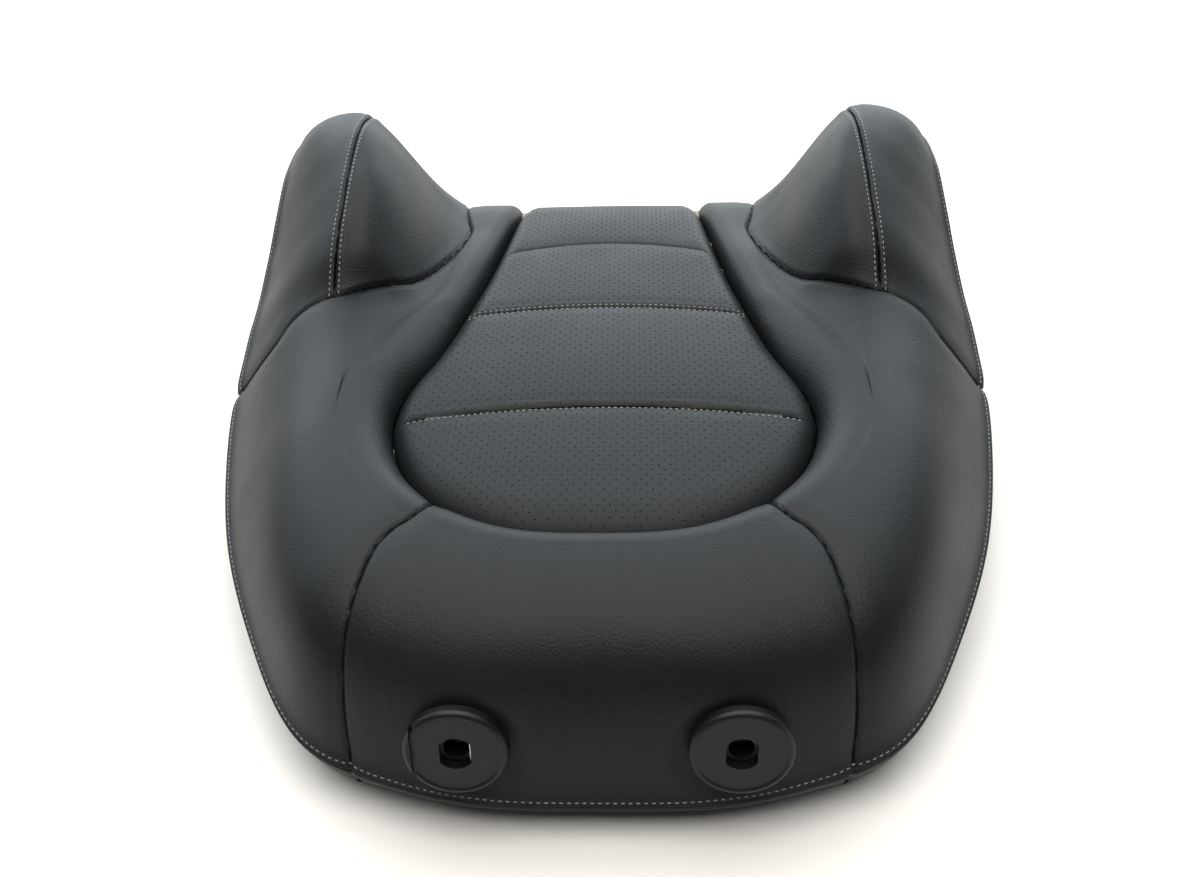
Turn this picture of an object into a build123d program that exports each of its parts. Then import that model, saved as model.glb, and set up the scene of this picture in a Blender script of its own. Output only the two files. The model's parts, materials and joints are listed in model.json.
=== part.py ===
from build123d import *

import os
from math import cos, radians, sin, sqrt

# Trimmed backrest of a car front seat, lying on its back panel, with its frame and recliners.
#
# X runs across the backrest, +Y from the headrest end to the recliner end, +Z from the back
# panel towards the occupant. Z is 0 under the back panel, and X and Y are 0 in the middle of
# the whole part. Lengths along the backrest are given as stations, counted from the outer
# seam at the headrest end. Millimetres.

# ---- overall sizes
trim_length = 576.0          # trimmed pad, headrest end to lumbar end
trim_half_width = 271.0      # at the widest, beside the lumbar wings
shoulder_height = 136.0      # top of the shoulders above the back panel
wing_height = 181.0          # crest of the lumbar wings
wing_length = 260.0          # root of the wings to the lumbar end
pivot_past_trim = 8.0        # lumbar end to the recliner pivot
pivot_height = 48.0
bracket_reach = 92.0         # pivot to the tip of the lower bracket

# ---- trim
skin = 3.0                   # cover leather with its backing foam
pad_gap = 0.25               # between the covers and the foam pad
insert_front = 119.0         # station of the rounded end of the insert
insert_half_width = 138.0    # at its widest
insert_seams = (241.0, 361.0, 464.0)
top_seam_half_width = 140.0
wing_seam_inset = 81.0       # widest line of the trim to the twin seam along each wing
band_split_x = 139.0         # where the end band meets the side bands
pad_bottom = 24.0
cavity_top = 64.0            # roof of the space that holds the frame
cavity_clear = 3.0           # outside the side members
cavity_front = 40.0
heater_thick = 1.2
heater_margin = 24.0         # from the insert's outline to the heater's edge
heater_margin_end = 56.0     # heater's edge to the lumbar end
notch_inset = 21.0           # side member's face to the cut-out in the trim round the recliner
notch_clear = 44.0           # the cut-out's reach round the pivot
seam_gap = 1.0               # between two sewn fields of the insert

# ---- headrest guides
guide_spacing = 152.0
guide_tilt = 11.0            # degrees that the guides lean from the backrest's plane
guide_station = 2.0          # centre of each bezel's front face
guide_height = 67.0
bezel_radius = 28.5
bezel_thick = 7.0
rim_round = 3.0              # radius of the bezel's outer edge
rim_width = 4.2
face_dish = 0.9              # face below the rim
mouth_width = 17.0
mouth_height = 21.0
mouth_depth = 6.0
rod_bore_radius = 7.1
sleeve_radius = 9.5
sleeve_length = 118.0
sleeve_clear = 0.3
carrier_start = 42.0         # depth of the steel carrier behind the bezel's face
carrier_length = 68.0
carrier_wall = 2.0

# ---- release button and lock wire
button_travel = 2.1
button_gap = 2.4             # open gap at the button's chord
button_chord = 24.0          # from the guide's axis to the button's flat
button_base = 1.5            # bezel floor left under the button
tongue_half = 12.5
tongue_length = 10.5
tongue_thick = 2.4
wire_radius = 0.55
wire_bar_x = 7.8             # locking bar, beside the rod
wire_leg_y = 11.6
slide_clear = 0.3

# ---- frame
sheet = 2.0
member_x = 226.0             # outer face of each side member's web
member_bottom = 16.0
member_depth = 42.0
member_flange = 18.0
member_bend_station = 250.0
member_top_station = 66.0
member_top_x = 172.0
member_end_radius = 30.0
weld_gap = 0.5               # between the pressings and the pieces welded inside them
flange_stop = 26.0           # flanges end this far short of the pivot
tube_radius = 11.0
tube_station = 80.0
tube_wall = 2.0
cross_station = 440.0
cross_width = 42.0
panel_wall = 2.5
panel_depth = 16.0
panel_inset = 15.0
panel_short = 28.0           # end of the back panel to the lumbar end
mat_half_width = 118.0
mat_wire = 1.6               # radius
mat_drop = 8.0               # below the top of the side members
hook_wire = 1.5              # radius
gearmotor_width = 56.0

# ---- side airbag, on the -X member
airbag_station = 325.0
airbag_length = 150.0
airbag_thick = 24.0
airbag_low = 32.0
airbag_height = 50.0
airbag_clear = 1.5
stud_radius = 3.0

# ---- recliners
fixed_radius = 36.0
fixed_thick = 7.0
moving_radius = 33.0
moving_thick = 5.7
ring_radius = 38.0
ring_clear = 0.4
face_gap = 0.3
bracket_thick = 4.0
bracket_head_radius = 30.0
bolt_radius = 5.5
bolt_spacing = 34.0
bolt_first = 44.0            # pivot to the nearer bolt
shaft_radius = 5.0
shaft_clear = 0.05

# ---- places worked out from the sizes above
pivot_station = trim_length + pivot_past_trim
bezel_over = bezel_radius * sin(radians(guide_tilt)) - guide_station
front = (bezel_over - pivot_station - bracket_reach) / 2
pivot_y = front + pivot_station
lumbar = trim_length - wing_length
wing_seam_x = trim_half_width - wing_seam_inset
cavity_half_width = member_x + cavity_clear
notch_inner_x = member_x - notch_inset
beyond = trim_half_width + trim_length   # clear of the whole part


def inset(points, distance):
    """Move an open outline sideways, to the right of its direction of travel."""
    moved = []
    for i, (x, y) in enumerate(points):
        x0, y0 = points[max(i - 1, 0)]
        x1, y1 = points[min(i + 1, len(points) - 1)]
        run = sqrt((x1 - x0) ** 2 + (y1 - y0) ** 2)
        moved.append((x + distance * (y1 - y0) / run, y - distance * (x1 - x0) / run))
    return moved


def plan_wire(distance, z):
    """Outline of the pad from above, drawn in by a distance, at a height."""
    w = trim_half_width
    half = [(w - 173, 6), (w - 105, 32), (w - 59, 90), (w - 32, 174), (w - 8, 284)]
    half += [(w, lumbar + 68), (w - 4, lumbar + 168), (w - 14, trim_length)]
    points = [(-x, s) for x, s in reversed(half)] + [(0, 0)] + half
    points = inset(points, -distance)
    last = trim_length - 1.6 * distance
    points[0] = (points[0][0], last)
    points[-1] = (points[-1][0], last)
    rim = Spline(*[(x, front + s, z) for x, s in points])
    return Wire([rim.edge(), Line(rim @ 1, rim @ 0).edge()])


def along(points):
    """Solid above a line given as stations and heights, right across the pad."""
    edge = [(front + s, z) for s, z in points]
    top = wing_height + 80
    side = Polyline(*edge, (edge[-1][0], top), (edge[0][0], top), close=True)
    face = make_face(Plane.YZ * side)
    return extrude(face, beyond, both=True)


def region(points):
    """Upright prism over an outline given as half-widths and stations."""
    outline = Polyline(*[(x, front + s, -20) for x, s in points], close=True)
    return extrude(make_face(outline), 300)


def smooth_region(points):
    """Upright prism over a smooth outline that is mirrored about the middle."""
    mirrored = [(-x, s) for x, s in reversed(points)]
    curve = Spline(*[(x, front + s, -20) for x, s in points + mirrored])
    wire = Wire([curve.edge(), Line(curve @ 1, curve @ 0).edge()])
    return extrude(make_face(wire), 300)


def mirror_x(shape):
    return mirror(shape, Plane.YZ)


# ---- trim forms
def wing(distance):
    """One lumbar wing, on the +X side, drawn in by a distance."""
    h = wing_height
    w = trim_half_width
    stations = ((0, 121, h - 55, 73), (30, 125, h - 41, 73), (76, 143, h - 20, 71),
                (124, 157, h - 5, 68), (170, 159, h, 65), (214, 153, h - 5, 65),
                (250, 137, h - 32, 67))
    slices = []
    for i, (run, foot_in, crest, crest_in) in enumerate(stations):
        foot = w - foot_in
        crest_x = w - crest_in
        outer = w - 3 - max(0, run - 84) * 0.06
        side = [(foot, 40), (foot + 14, 86), (crest_x - 30, crest - 27), (crest_x, crest)]
        side += [(crest_x + 32, crest - 11), (outer - 3, crest - 52), (outer, 40)]
        side = inset(side, distance)
        y = front + lumbar + run
        if i == 0:
            y += distance
        if i == len(stations) - 1:
            y -= distance
        curve = Spline(*[(x, y, z) for x, z in side])
        first = curve @ 0
        last = curve @ 1
        low = Polyline((last.X, y, last.Z), (last.X, y, 32), (first.X, y, 32), (first.X, y, first.Z))
        slices.append(Wire([curve.edge()] + list(low.edges())))
    return Solid.make_loft(slices)


def insert_prism(distance):
    """Prism over the insert, let out by a distance."""
    w = insert_half_width
    half = [(w - 64, trim_length + 30), (w - 60, lumbar + 190), (w - 46, lumbar + 112)]
    half += [(w - 30, lumbar + 28), (w - 14, lumbar - 26)]
    half += [(w, insert_front + 115), (w - 16, insert_front + 56), (w - 60, insert_front + 13)]
    half = inset(half, -distance)
    mirrored = [(-x, s) for x, s in reversed(half)]
    points = half + [(0, insert_front - distance)] + mirrored
    curve = Spline(*[(x, front + s, -20) for x, s in points])
    wire = Wire([curve.edge(), Line(curve @ 1, curve @ 0).edge()])
    return extrude(make_face(wire), 300)


def shifted(points, drop):
    return [(s, z - drop) for s, z in points]


h = shoulder_height
top_line = [(-60, h), (lumbar - 106, h), (lumbar - 16, h - 6), (lumbar + 64, h - 18)]
top_line += [(lumbar + 148, h - 29), (lumbar + 206, h - 37), (lumbar + 324, h - 53)]
insert_line = [(60, h - 18), (lumbar - 75, h - 20), (lumbar + 45, h - 26), (lumbar + 148, h - 37)]
insert_line += [(lumbar + 206, h - 45.5), (lumbar + 236, h - 55), (lumbar + 324, h - 86)]


def pad_form(distance):
    """Outer form of the trimmed pad, drawn in by a distance."""
    h = shoulder_height
    roll = ((9, 8), (0, 26), (4, 44), (8.5, 66), (15, 90), (25, 110), (41, 127), (64, h + 4))
    wires = [plan_wire(d + distance, z - distance * (z > h)) for d, z in roll]
    form = Solid.make_loft(wires)
    form -= along(shifted(top_line, distance))
    side = wing(distance)
    form = form + side + mirror_x(side)
    form -= insert_prism(distance) & along(shifted(insert_line, distance))
    return form


def notches():
    """Room for the recliners at the two lower corners of the trim."""
    high = pivot_height + notch_clear
    right = slab(notch_inner_x, beyond, pivot_y - notch_clear, beyond, -20, high)
    return right + mirror_x(right)


# ---- headrest guides: local z runs out of the mouth, local y towards the occupant
def guide_plane(side):
    tilt = radians(guide_tilt)
    return Plane(
        origin=(side * guide_spacing / 2, front + guide_station, guide_height),
        x_dir=(1, 0, 0),
        z_dir=(0, -cos(tilt), sin(tilt)),
    )


def upright(radius, low, high):
    return Pos(0, 0, low) * Cylinder(radius, high - low, align=(Align.CENTER, Align.CENTER, Align.MIN))


def slab(x0, x1, y0, y1, z0, z1):
    box = Box(x1 - x0, y1 - y0, z1 - z0, align=(Align.MIN, Align.MIN, Align.MIN))
    return Pos(x0, y0, z0) * box


def mouth():
    """Round opening with flat left and right sides."""
    hole = upright(mouth_height / 2, -mouth_depth, 5)
    return hole & slab(-mouth_width / 2, mouth_width / 2, -20, 20, -mouth_depth, 5)


def bezel_disc(low):
    """Bezel with a rounded rim that stands above its shallow dished face."""
    rim = bezel_radius - rim_width
    line = Polyline((0, low), (bezel_radius, low), (bezel_radius, -rim_round))
    side = ThreePointArc(
        (bezel_radius, -rim_round),
        (bezel_radius - rim_round * 0.3, -rim_round * 0.3),
        (bezel_radius - rim_round, 0),
    )
    face = Polyline((bezel_radius - rim_round, 0), (rim, -face_dish), (0, -face_dish), (0, low))
    profile = make_face(Plane.XZ * (line + side + face))
    return revolve(profile, Axis.Z)


def plain_guide():
    bezel = bezel_disc(-bezel_thick)
    body = bezel + upright(sleeve_radius, -sleeve_length, -bezel_thick)
    barb = Pos(0, 0, -carrier_start - carrier_length - 3) * Torus(sleeve_radius, 0.8)
    return body + barb - mouth() - upright(rod_bore_radius, -sleeve_length - 5, 0)


slot_low = -bezel_thick + button_base
slot_high = slot_low + tongue_thick + 2 * slide_clear
wire_z = (slot_low + slot_high) / 2


def locking_guide():
    """Guide with the seat for the button and the slots for its tongue and wire."""
    body = plain_guide()
    chord = -button_chord + button_gap
    body -= slab(-40, chord, -40, 40, slot_low, 10)
    reach = -button_chord + tongue_length + button_travel + 2 * slide_clear
    tongue = tongue_half + slide_clear
    body -= slab(-30, reach, -tongue, tongue, slot_low, slot_high)
    leg = wire_radius + slide_clear
    stop = wire_bar_x + button_travel + leg
    for side in (-1, 1):
        y = side * wire_leg_y
        body -= slab(reach - 1, stop, y - leg, y + leg, slot_low, slot_high)
    bar = wire_leg_y + leg
    body -= slab(rod_bore_radius, stop, -bar, bar, slot_low, slot_high)
    return body


def lock_wire():
    """U of spring wire: two legs past the rod and the locking bar across them."""
    start = -button_chord + tongue_length - 4
    path = FilletPolyline(
        (start, wire_leg_y, wire_z),
        (wire_bar_x, wire_leg_y, wire_z),
        (wire_bar_x, -wire_leg_y, wire_z),
        (start, -wire_leg_y, wire_z),
        radius=1.5,
    )
    section = Plane(origin=path @ 0, z_dir=path % 0) * Circle(wire_radius)
    return sweep(section, path=path)


def release_button():
    low = slot_low + slide_clear
    crescent = bezel_disc(low) & slab(-40, -button_chord, -40, 40, low, 5)
    end = -button_chord + tongue_length
    crescent += slab(-button_chord - 1, end, -tongue_half, tongue_half, low, low + tongue_thick)
    return crescent - lock_wire()


def carrier():
    """Square steel tube that holds one guide."""
    outer = sleeve_radius + sleeve_clear + carrier_wall
    low = -carrier_start - carrier_length
    tube = slab(-outer, outer, -outer, outer, low, -carrier_start)
    tube = fillet(tube.edges().filter_by(Axis.Z), 3.0)
    return tube - upright(sleeve_radius + sleeve_clear, low - 1, 0)


def dimples():
    """Where the bezels press into the cover, with the holes for their sleeves."""
    cut = upright(bezel_radius + 0.4, -bezel_thick - 0.2, 30)
    cut += upright(sleeve_radius + 1.5, -sleeve_length - 12, 0)
    return guide_plane(-1).location * cut + guide_plane(1).location * cut


# ---- frame
def path_band(points, width):
    """Flat strip of a width to the left of a path, as a face on the ground plane."""
    edge = [(x, front + s) for x, s in points]
    back = inset(edge, -width)
    return make_face(Polyline(*edge, *reversed(back), close=True))


def side_member():
    """Pressed side member on the +X side: web and two inward flanges."""
    path = [(member_top_x, member_top_station), (member_x, member_bend_station)]
    path += [(member_x, pivot_station)]
    top = member_bottom + member_depth
    web = Pos(0, 0, member_bottom) * extrude(path_band(path, sheet), member_depth)
    path[-1] = (member_x, pivot_station - flange_stop)
    low = Pos(0, 0, member_bottom) * extrude(path_band(path, member_flange), sheet)
    high = Pos(0, 0, top - sheet) * extrude(path_band(path, member_flange), sheet)
    ear = cylinder_x(member_end_radius, member_x - sheet, member_x)
    member = web + low + high + ear - cylinder_x(shaft_radius + 1.0, member_x - 30, member_x + 1)
    for s in (300, 350, 400):
        hole = Pos(member_x, front + s, member_bottom + member_depth / 2) * (Rot(0, 90, 0) * Cylinder(9, 20))
        member -= hole
    return member


def cylinder_x(radius, x0, x1):
    """Cylinder along X about the recliner pivot."""
    bar = Rot(0, 90, 0) * Cylinder(radius, x1 - x0, align=(Align.CENTER, Align.CENTER, Align.MIN))
    return Pos(x0, pivot_y, pivot_height) * bar


def cross_tube():
    """Bent-up head of the frame: a tube between the tops of the side members."""
    half = member_top_x + 2 * tube_radius
    z = member_bottom + sheet + tube_radius + weld_gap
    bar = Rot(0, 90, 0) * Cylinder(tube_radius, 2 * half)
    bore = Rot(0, 90, 0) * Cylinder(tube_radius - tube_wall, 2 * half + 2)
    tube = Pos(0, front + tube_station, z) * (bar - bore)
    path = [(member_top_x, 0), (member_top_x, member_top_station), (member_x, member_bend_station)]
    outside = region(path + [(beyond, member_bend_station), (beyond, 0)])
    return tube - outside - mirror_x(outside)


def cross_member():
    """Pressed channel between the side members under the lumbar end."""
    half = member_x - sheet
    y0 = front + cross_station
    y1 = y0 + cross_width
    z0 = member_bottom + sheet + weld_gap
    z1 = member_bottom + member_depth - sheet - weld_gap
    channel = slab(-half, half, y0, y1, z0, z1)
    channel -= slab(-half - 1, half + 1, y0 + sheet, y1 - sheet, z0 + sheet, z1 + 1)
    for x in (-120, -40, 40, 120):
        channel -= Pos(x, (y0 + y1) / 2, z0) * Cylinder(9, 20)
    return channel


def suspension_mat():
    """Wire mat that carries the pad: two long wires and seven cross wires."""
    z = member_bottom + member_depth - mat_drop
    first = member_top_station + 74
    last = cross_station - 24
    half = mat_half_width
    align = (Align.CENTER, Align.CENTER, Align.MIN)
    mat = None
    for x in (-half, -half / 3, half / 3, half):
        rod = Rot(-90, 0, 0) * Cylinder(mat_wire, last - first, align=align)
        rod = Pos(x, front + first, z) * rod
        mat = rod if mat is None else mat + rod
    count = 7
    for i in range(count):
        s = first + 8 + i * (last - first - 16) / (count - 1)
        cross = Rot(0, 90, 0) * Cylinder(mat_wire, 2 * half + 5 * mat_wire)
        mat += Pos(0, front + s, z + 0.75 * mat_wire) * cross
    return mat


def mat_hooks():
    """Four wire hooks from the mat's long wires to the side members."""
    hooks = []
    z = member_bottom + member_depth - mat_drop
    inner = mat_half_width
    eye_radius = mat_wire + hook_wire + 0.3
    for s in (member_bend_station + 20, cross_station - 60):
        y = front + s
        bar = Rot(0, 90, 0) * Cylinder(
            hook_wire, member_x - sheet - inner + 3, align=(Align.CENTER, Align.CENTER, Align.MIN))
        bar = Pos(inner - 3, y, z - eye_radius - 0.2) * bar
        eye = Pos(inner, y, z) * Rot(90, 0, 0) * Torus(eye_radius, hook_wire)
        hooks += [bar + eye, mirror_x(bar + eye)]
    return Compound(hooks)


def back_panel():
    """Moulded shell over the back: a flat floor with an upturned rim."""
    rows = ((24, 0), (12, 3), (4, 8), (0, panel_depth))
    wall = panel_inset + panel_wall
    outer = Solid.make_loft([plan_wire(panel_inset + d, z) for d, z in rows])
    inner = Solid.make_loft([plan_wire(wall + d, z + panel_wall) for d, z in rows])
    cut = slab(-beyond, beyond, front + trim_length - panel_short, beyond, -5, 60)
    return outer - inner - cut


def panel_clips():
    """Push clips that hold the back panel to the frame's flanges."""
    clips = []
    for s in (300, 420, 500):
        x = member_x - member_flange / 2 - 4
        clip = Pos(x, front + s, panel_wall) * Cylinder(
            5, member_bottom - panel_wall, align=(Align.CENTER, Align.CENTER, Align.MIN))
        clips += [clip, mirror_x(clip)]
    return Compound(clips)


# ---- recliners: the +X side, mirrored for the other
fixed_outer = member_x + fixed_thick
moving_inner = fixed_outer + face_gap
moving_outer = moving_inner + moving_thick
bracket_inner = moving_outer
bracket_outer = bracket_inner + bracket_thick


def fixed_disc():
    disc = cylinder_x(fixed_radius, member_x, fixed_outer)
    return disc - cylinder_x(shaft_radius + shaft_clear, member_x - 1, fixed_outer + 1)


def moving_disc():
    disc = cylinder_x(moving_radius, moving_inner, moving_outer)
    return disc - cylinder_x(shaft_radius + shaft_clear, moving_inner - 1, moving_outer + 1)


def retaining_ring():
    outer = moving_outer - face_gap
    ring = cylinder_x(ring_radius, member_x, outer)
    ring -= cylinder_x(moving_radius + ring_clear, fixed_outer, outer + 1)
    return ring - cylinder_x(fixed_radius, member_x - 1, fixed_outer)


def bracket():
    """Lower bracket: a steel plate with two bolt holes towards its tip."""
    tip = 15.0
    head = cylinder_x(bracket_head_radius, bracket_inner, bracket_outer)
    base = bracket_head_radius * 0.93
    y0 = pivot_y + bracket_head_radius * 0.35
    y1 = pivot_y + bracket_reach
    z = pivot_height
    corners = [(y0, z - base), (y1 - 8, z - tip), (y1, z - tip + 8), (y1, z + tip - 8)]
    corners += [(y1 - 8, z + tip), (y0, z + base)]
    arm = extrude(make_face(Plane.YZ * Polyline(*corners, close=True)), bracket_thick)
    plate = head + Pos(bracket_inner, 0, 0) * arm
    plate -= cylinder_x(shaft_radius + 1.0, bracket_inner - 1, bracket_outer + 1)
    for i in range(2):
        y = pivot_y + bolt_first + i * bolt_spacing
        plate -= Pos(bracket_inner, y, z) * (Rot(0, 90, 0) * Cylinder(bolt_radius, 3 * bracket_thick))
    return plate


def recliner_shaft():
    return cylinder_x(shaft_radius, -bracket_outer, bracket_outer)


def gearmotor():
    """Gear housing round the shaft with its motor can lying along the frame."""
    outer = member_x - sheet
    inner = outer - gearmotor_width
    housing = cylinder_x(15.5, inner, outer)
    can_radius = 16.0
    x = (inner + outer) / 2
    z = pivot_height - 12
    can = Rot(-90, 0, 0) * Cylinder(can_radius, 62, align=(Align.CENTER, Align.CENTER, Align.MIN))
    can = Pos(x, pivot_y - 72, z) * can
    block = slab(inner, outer, pivot_y - 16, pivot_y + 14, z - 14, z + 4)
    return housing + can + block - cylinder_x(shaft_radius + shaft_clear, inner - 1, outer + 1)


# ---- inside the pad
def airbag_box(grow):
    """Block that holds the airbag, let out by a distance."""
    x1 = -member_x - airbag_clear
    box = slab(x1 - airbag_thick - grow, x1 + grow, front + airbag_station - grow,
               front + airbag_station + airbag_length + grow, airbag_low - grow,
               airbag_low + airbag_height + grow)
    return box


def stud_places():
    """The airbag's two stud axes, on the member's web."""
    z = airbag_low + 12
    return [(front + airbag_station + airbag_length * k, z) for k in (0.15, 0.6)]


def stud(radius, x0, length, y, z):
    """Rod along X from x0."""
    rod = Rot(0, 90, 0) * Cylinder(radius, length, align=(Align.CENTER, Align.CENTER, Align.MIN))
    return Pos(x0, y, z) * rod


def airbag_module():
    box = fillet(airbag_box(0).edges().filter_by(Axis.Y), 8)
    for y, z in stud_places():
        box += stud(stud_radius, -member_x - airbag_clear - 1, 12, y, z)
    return box


def airbag_nuts():
    nuts = []
    for y, z in stud_places():
        nut = stud(stud_radius + 3.5, -member_x + sheet, 5, y, z)
        nuts.append(nut - stud(stud_radius, -member_x, 12, y, z))
    return Compound(nuts)


wire_drop = 24.0             # listing wires below the insert's surface
wire_halves = (120.0, 90.0, 70.0)


def listing_places():
    """Station, height and half-length of each listing wire."""
    places = []
    for s, half in zip(insert_seams, wire_halves):
        height = [z1 + (z2 - z1) * (s - s1) / (s2 - s1)
                  for (s1, z1), (s2, z2) in zip(insert_line, insert_line[1:]) if s1 <= s <= s2][0]
        places.append((s, height - wire_drop, half))
    return places


def listing_wires():
    wires = []
    for s, z, half in listing_places():
        wires.append(Pos(0, front + s, z) * (Rot(0, 90, 0) * Cylinder(1.3, 2 * half)))
    return Compound(wires)


def hog_rings():
    """C rings that pull the insert's seams down to the listing wires."""
    rings = []
    for s, z, half in listing_places():
        for i in range(5):
            x = (i - 2) * half * 0.42
            ring = Pos(x, front + s, z + 4.2) * (Rot(0, 90, 0) * Torus(6.4, 0.9))
            rings.append(ring)
    return Compound(rings)


def foam_pad(form):
    """Moulded foam with its room for the frame, guides, wires and airbag."""
    pad = form - slab(-beyond, beyond, -beyond, beyond, -5, pad_bottom)
    w = cavity_half_width
    room = [(-w, beyond), (-w, member_bend_station + 2)]
    room += [(-member_top_x - 5, cavity_front + 14), (-member_top_x - 5, cavity_front)]
    room += [(-x, s) for x, s in reversed(room)]
    pad -= region(room) & slab(-beyond, beyond, -beyond, beyond, -20, cavity_top)
    outer = sleeve_radius + sleeve_clear + carrier_wall + 3
    low = -carrier_start - carrier_length - 12
    for side in (-1, 1):
        pad -= guide_plane(side).location * slab(-outer, outer, -60, outer, low, -carrier_start + 3)
    pad -= airbag_box(0.6)
    room = along(shifted(insert_line, skin + heater_thick + 2 * pad_gap))
    pad -= room & insert_prism(1 - heater_margin)
    for s, z, half in listing_places():
        pad -= slab(-half - 3, half + 3, front + s - 8, front + s + 8, z - 4, z + 14)
    return pad


def heater_mat():
    """Thin heating mat under the insert, in one piece for each sewn field."""
    over = along(shifted(insert_line, skin + pad_gap))
    under = along(shifted(insert_line, skin + pad_gap + heater_thick))
    heater_end = front + trim_length - heater_margin_end
    reach = slab(-beyond, beyond, front + insert_front, heater_end, 20, 200)
    mat = insert_prism(-heater_margin) & reach & (under - over)
    for s in insert_seams:
        mat -= slab(-beyond, beyond, front + s - 9, front + s + 9, 0, 200)
    return mat


# ---- the build
os.makedirs("parts", exist_ok=True)
parts = {}

outer_form = pad_form(0)
way_start = front + trim_length - 36
frame_way = slab(-cavity_half_width, cavity_half_width, way_start, beyond, -50, cavity_top)
shell = outer_form - pad_form(skin) - notches() - dimples() - frame_way
seam_line = [(-60, 22), (0, 24), (30, 32), (60, 38), (140, 48), (230, 58), (lumbar + 4, 64)]
seam_line += [(lumbar + 84, 72), (lumbar + 134, 92), (lumbar + 184, 114), (lumbar + 229, 128)]
seam_line += [(lumbar + 324, 132)]
middle = wing_seam_x + 5
above_seam = along(seam_line) + slab(-middle, middle, front + lumbar + 14, beyond, -50, 300)
band = shell - above_seam
top = shell & above_seam
end_zone = slab(-band_split_x, band_split_x, -beyond, 0, -50, 300)
parts["end_band"] = band & end_zone
right_zone = slab(0, beyond, -beyond, beyond, -50, 300)
rest = band - end_zone
parts["side_band_right"] = rest & right_zone
parts["side_band_left"] = rest - right_zone

insert = top & insert_prism(0) & along(shifted(insert_line, skin + 2))
surround = top - insert_prism(0)
edges = (-beyond, *insert_seams, beyond)
names = ("insert_panel_top", "insert_panel_upper", "insert_panel_lower", "insert_panel_bottom")
for name, s0, s1 in zip(names, edges, edges[1:]):
    field = slab(-beyond, beyond, front + s0 + seam_gap / 2, front + s1 - seam_gap / 2, 0, 200)
    parts[name] = insert & field

t = top_seam_half_width
top_zone = smooth_region([(t, -22), (t, 24), (t - 11, 66), (t - 28, 110), (t - 43, 170)])
parts["top_cover"] = surround & top_zone
w = trim_half_width
root = [(w + 29, -4), (w - 33, 6), (w - 69, 24), (w - 115, 40), (w - 145, 72), (w - 159, 114)]
root += [(w - 162, 144), (w - 157, 194), (w - 147, 284), (w + 29, 284)]
wing_zone = region([(x, lumbar + run) for x, run in root])
wing_zone += mirror_x(wing_zone)
inner_zone = slab(-wing_seam_x, wing_seam_x, -beyond, beyond, -50, 300)
shoulders = surround - top_zone - wing_zone
wings = surround & wing_zone
inner_wings = wings & inner_zone
outer_wings = wings - inner_zone
for name, piece in (("shoulder_cover", shoulders), ("wing_inner_cover", inner_wings),
                    ("wing_outer_cover", outer_wings)):
    parts[name + "_right"] = piece & right_zone
    parts[name + "_left"] = piece - right_zone

parts["foam_pad"] = foam_pad(pad_form(skin + pad_gap) - notches() - dimples())
parts["heater_mat"] = heater_mat()

member = side_member()
parts["side_member_right"] = member
member = mirror_x(member)
for y, z in stud_places():
    member -= stud(stud_radius + 0.3, -member_x - 1, sheet + 2, y, z)
parts["side_member_left"] = member
parts["upper_cross_tube"] = cross_tube() - parts["side_member_right"] - member
parts["lower_cross_member"] = cross_member()
parts["suspension_mat"] = suspension_mat()
parts["mat_hooks"] = mat_hooks()
parts["back_panel"] = back_panel()
parts["back_panel_clips"] = panel_clips()
parts["side_airbag_module"] = airbag_module()
parts["airbag_nuts"] = airbag_nuts()
parts["listing_wires"] = listing_wires()
parts["hog_rings"] = hog_rings()

for side, word in ((-1, "left"), (1, "right")):
    place = guide_plane(side).location
    parts["headrest_carrier_" + word] = place * carrier() - parts["upper_cross_tube"]
parts["headrest_guide_locking"] = guide_plane(-1).location * locking_guide()
parts["headrest_guide_plain"] = guide_plane(1).location * plain_guide()
parts["release_button"] = guide_plane(-1).location * release_button()
parts["lock_wire"] = guide_plane(-1).location * lock_wire()

for name, make in (("recliner_fixed_disc", fixed_disc), ("recliner_moving_disc", moving_disc),
                   ("recliner_ring", retaining_ring), ("recliner_bracket", bracket)):
    piece = make()
    parts[name + "_right"] = piece
    parts[name + "_left"] = mirror_x(piece)
parts["recliner_shaft"] = recliner_shaft()
parts["recliner_gearmotor"] = gearmotor()

for name, shape in parts.items():
    export_step(shape, f"parts/{name}.step")
    print(name, len(shape.solids()), round(shape.volume))
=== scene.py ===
"""Sewn leather trim, foam core, thread and finishes for a car seat backrest on its back.

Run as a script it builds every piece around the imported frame. Sizes inside the making code
are millimetres, x across and s along the backrest from the outer seam at the headrest end.
"""

import json
import math

import bpy
import numpy as np
from mathutils import Matrix, Vector
from mathutils.bvhtree import BVHTree

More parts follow.
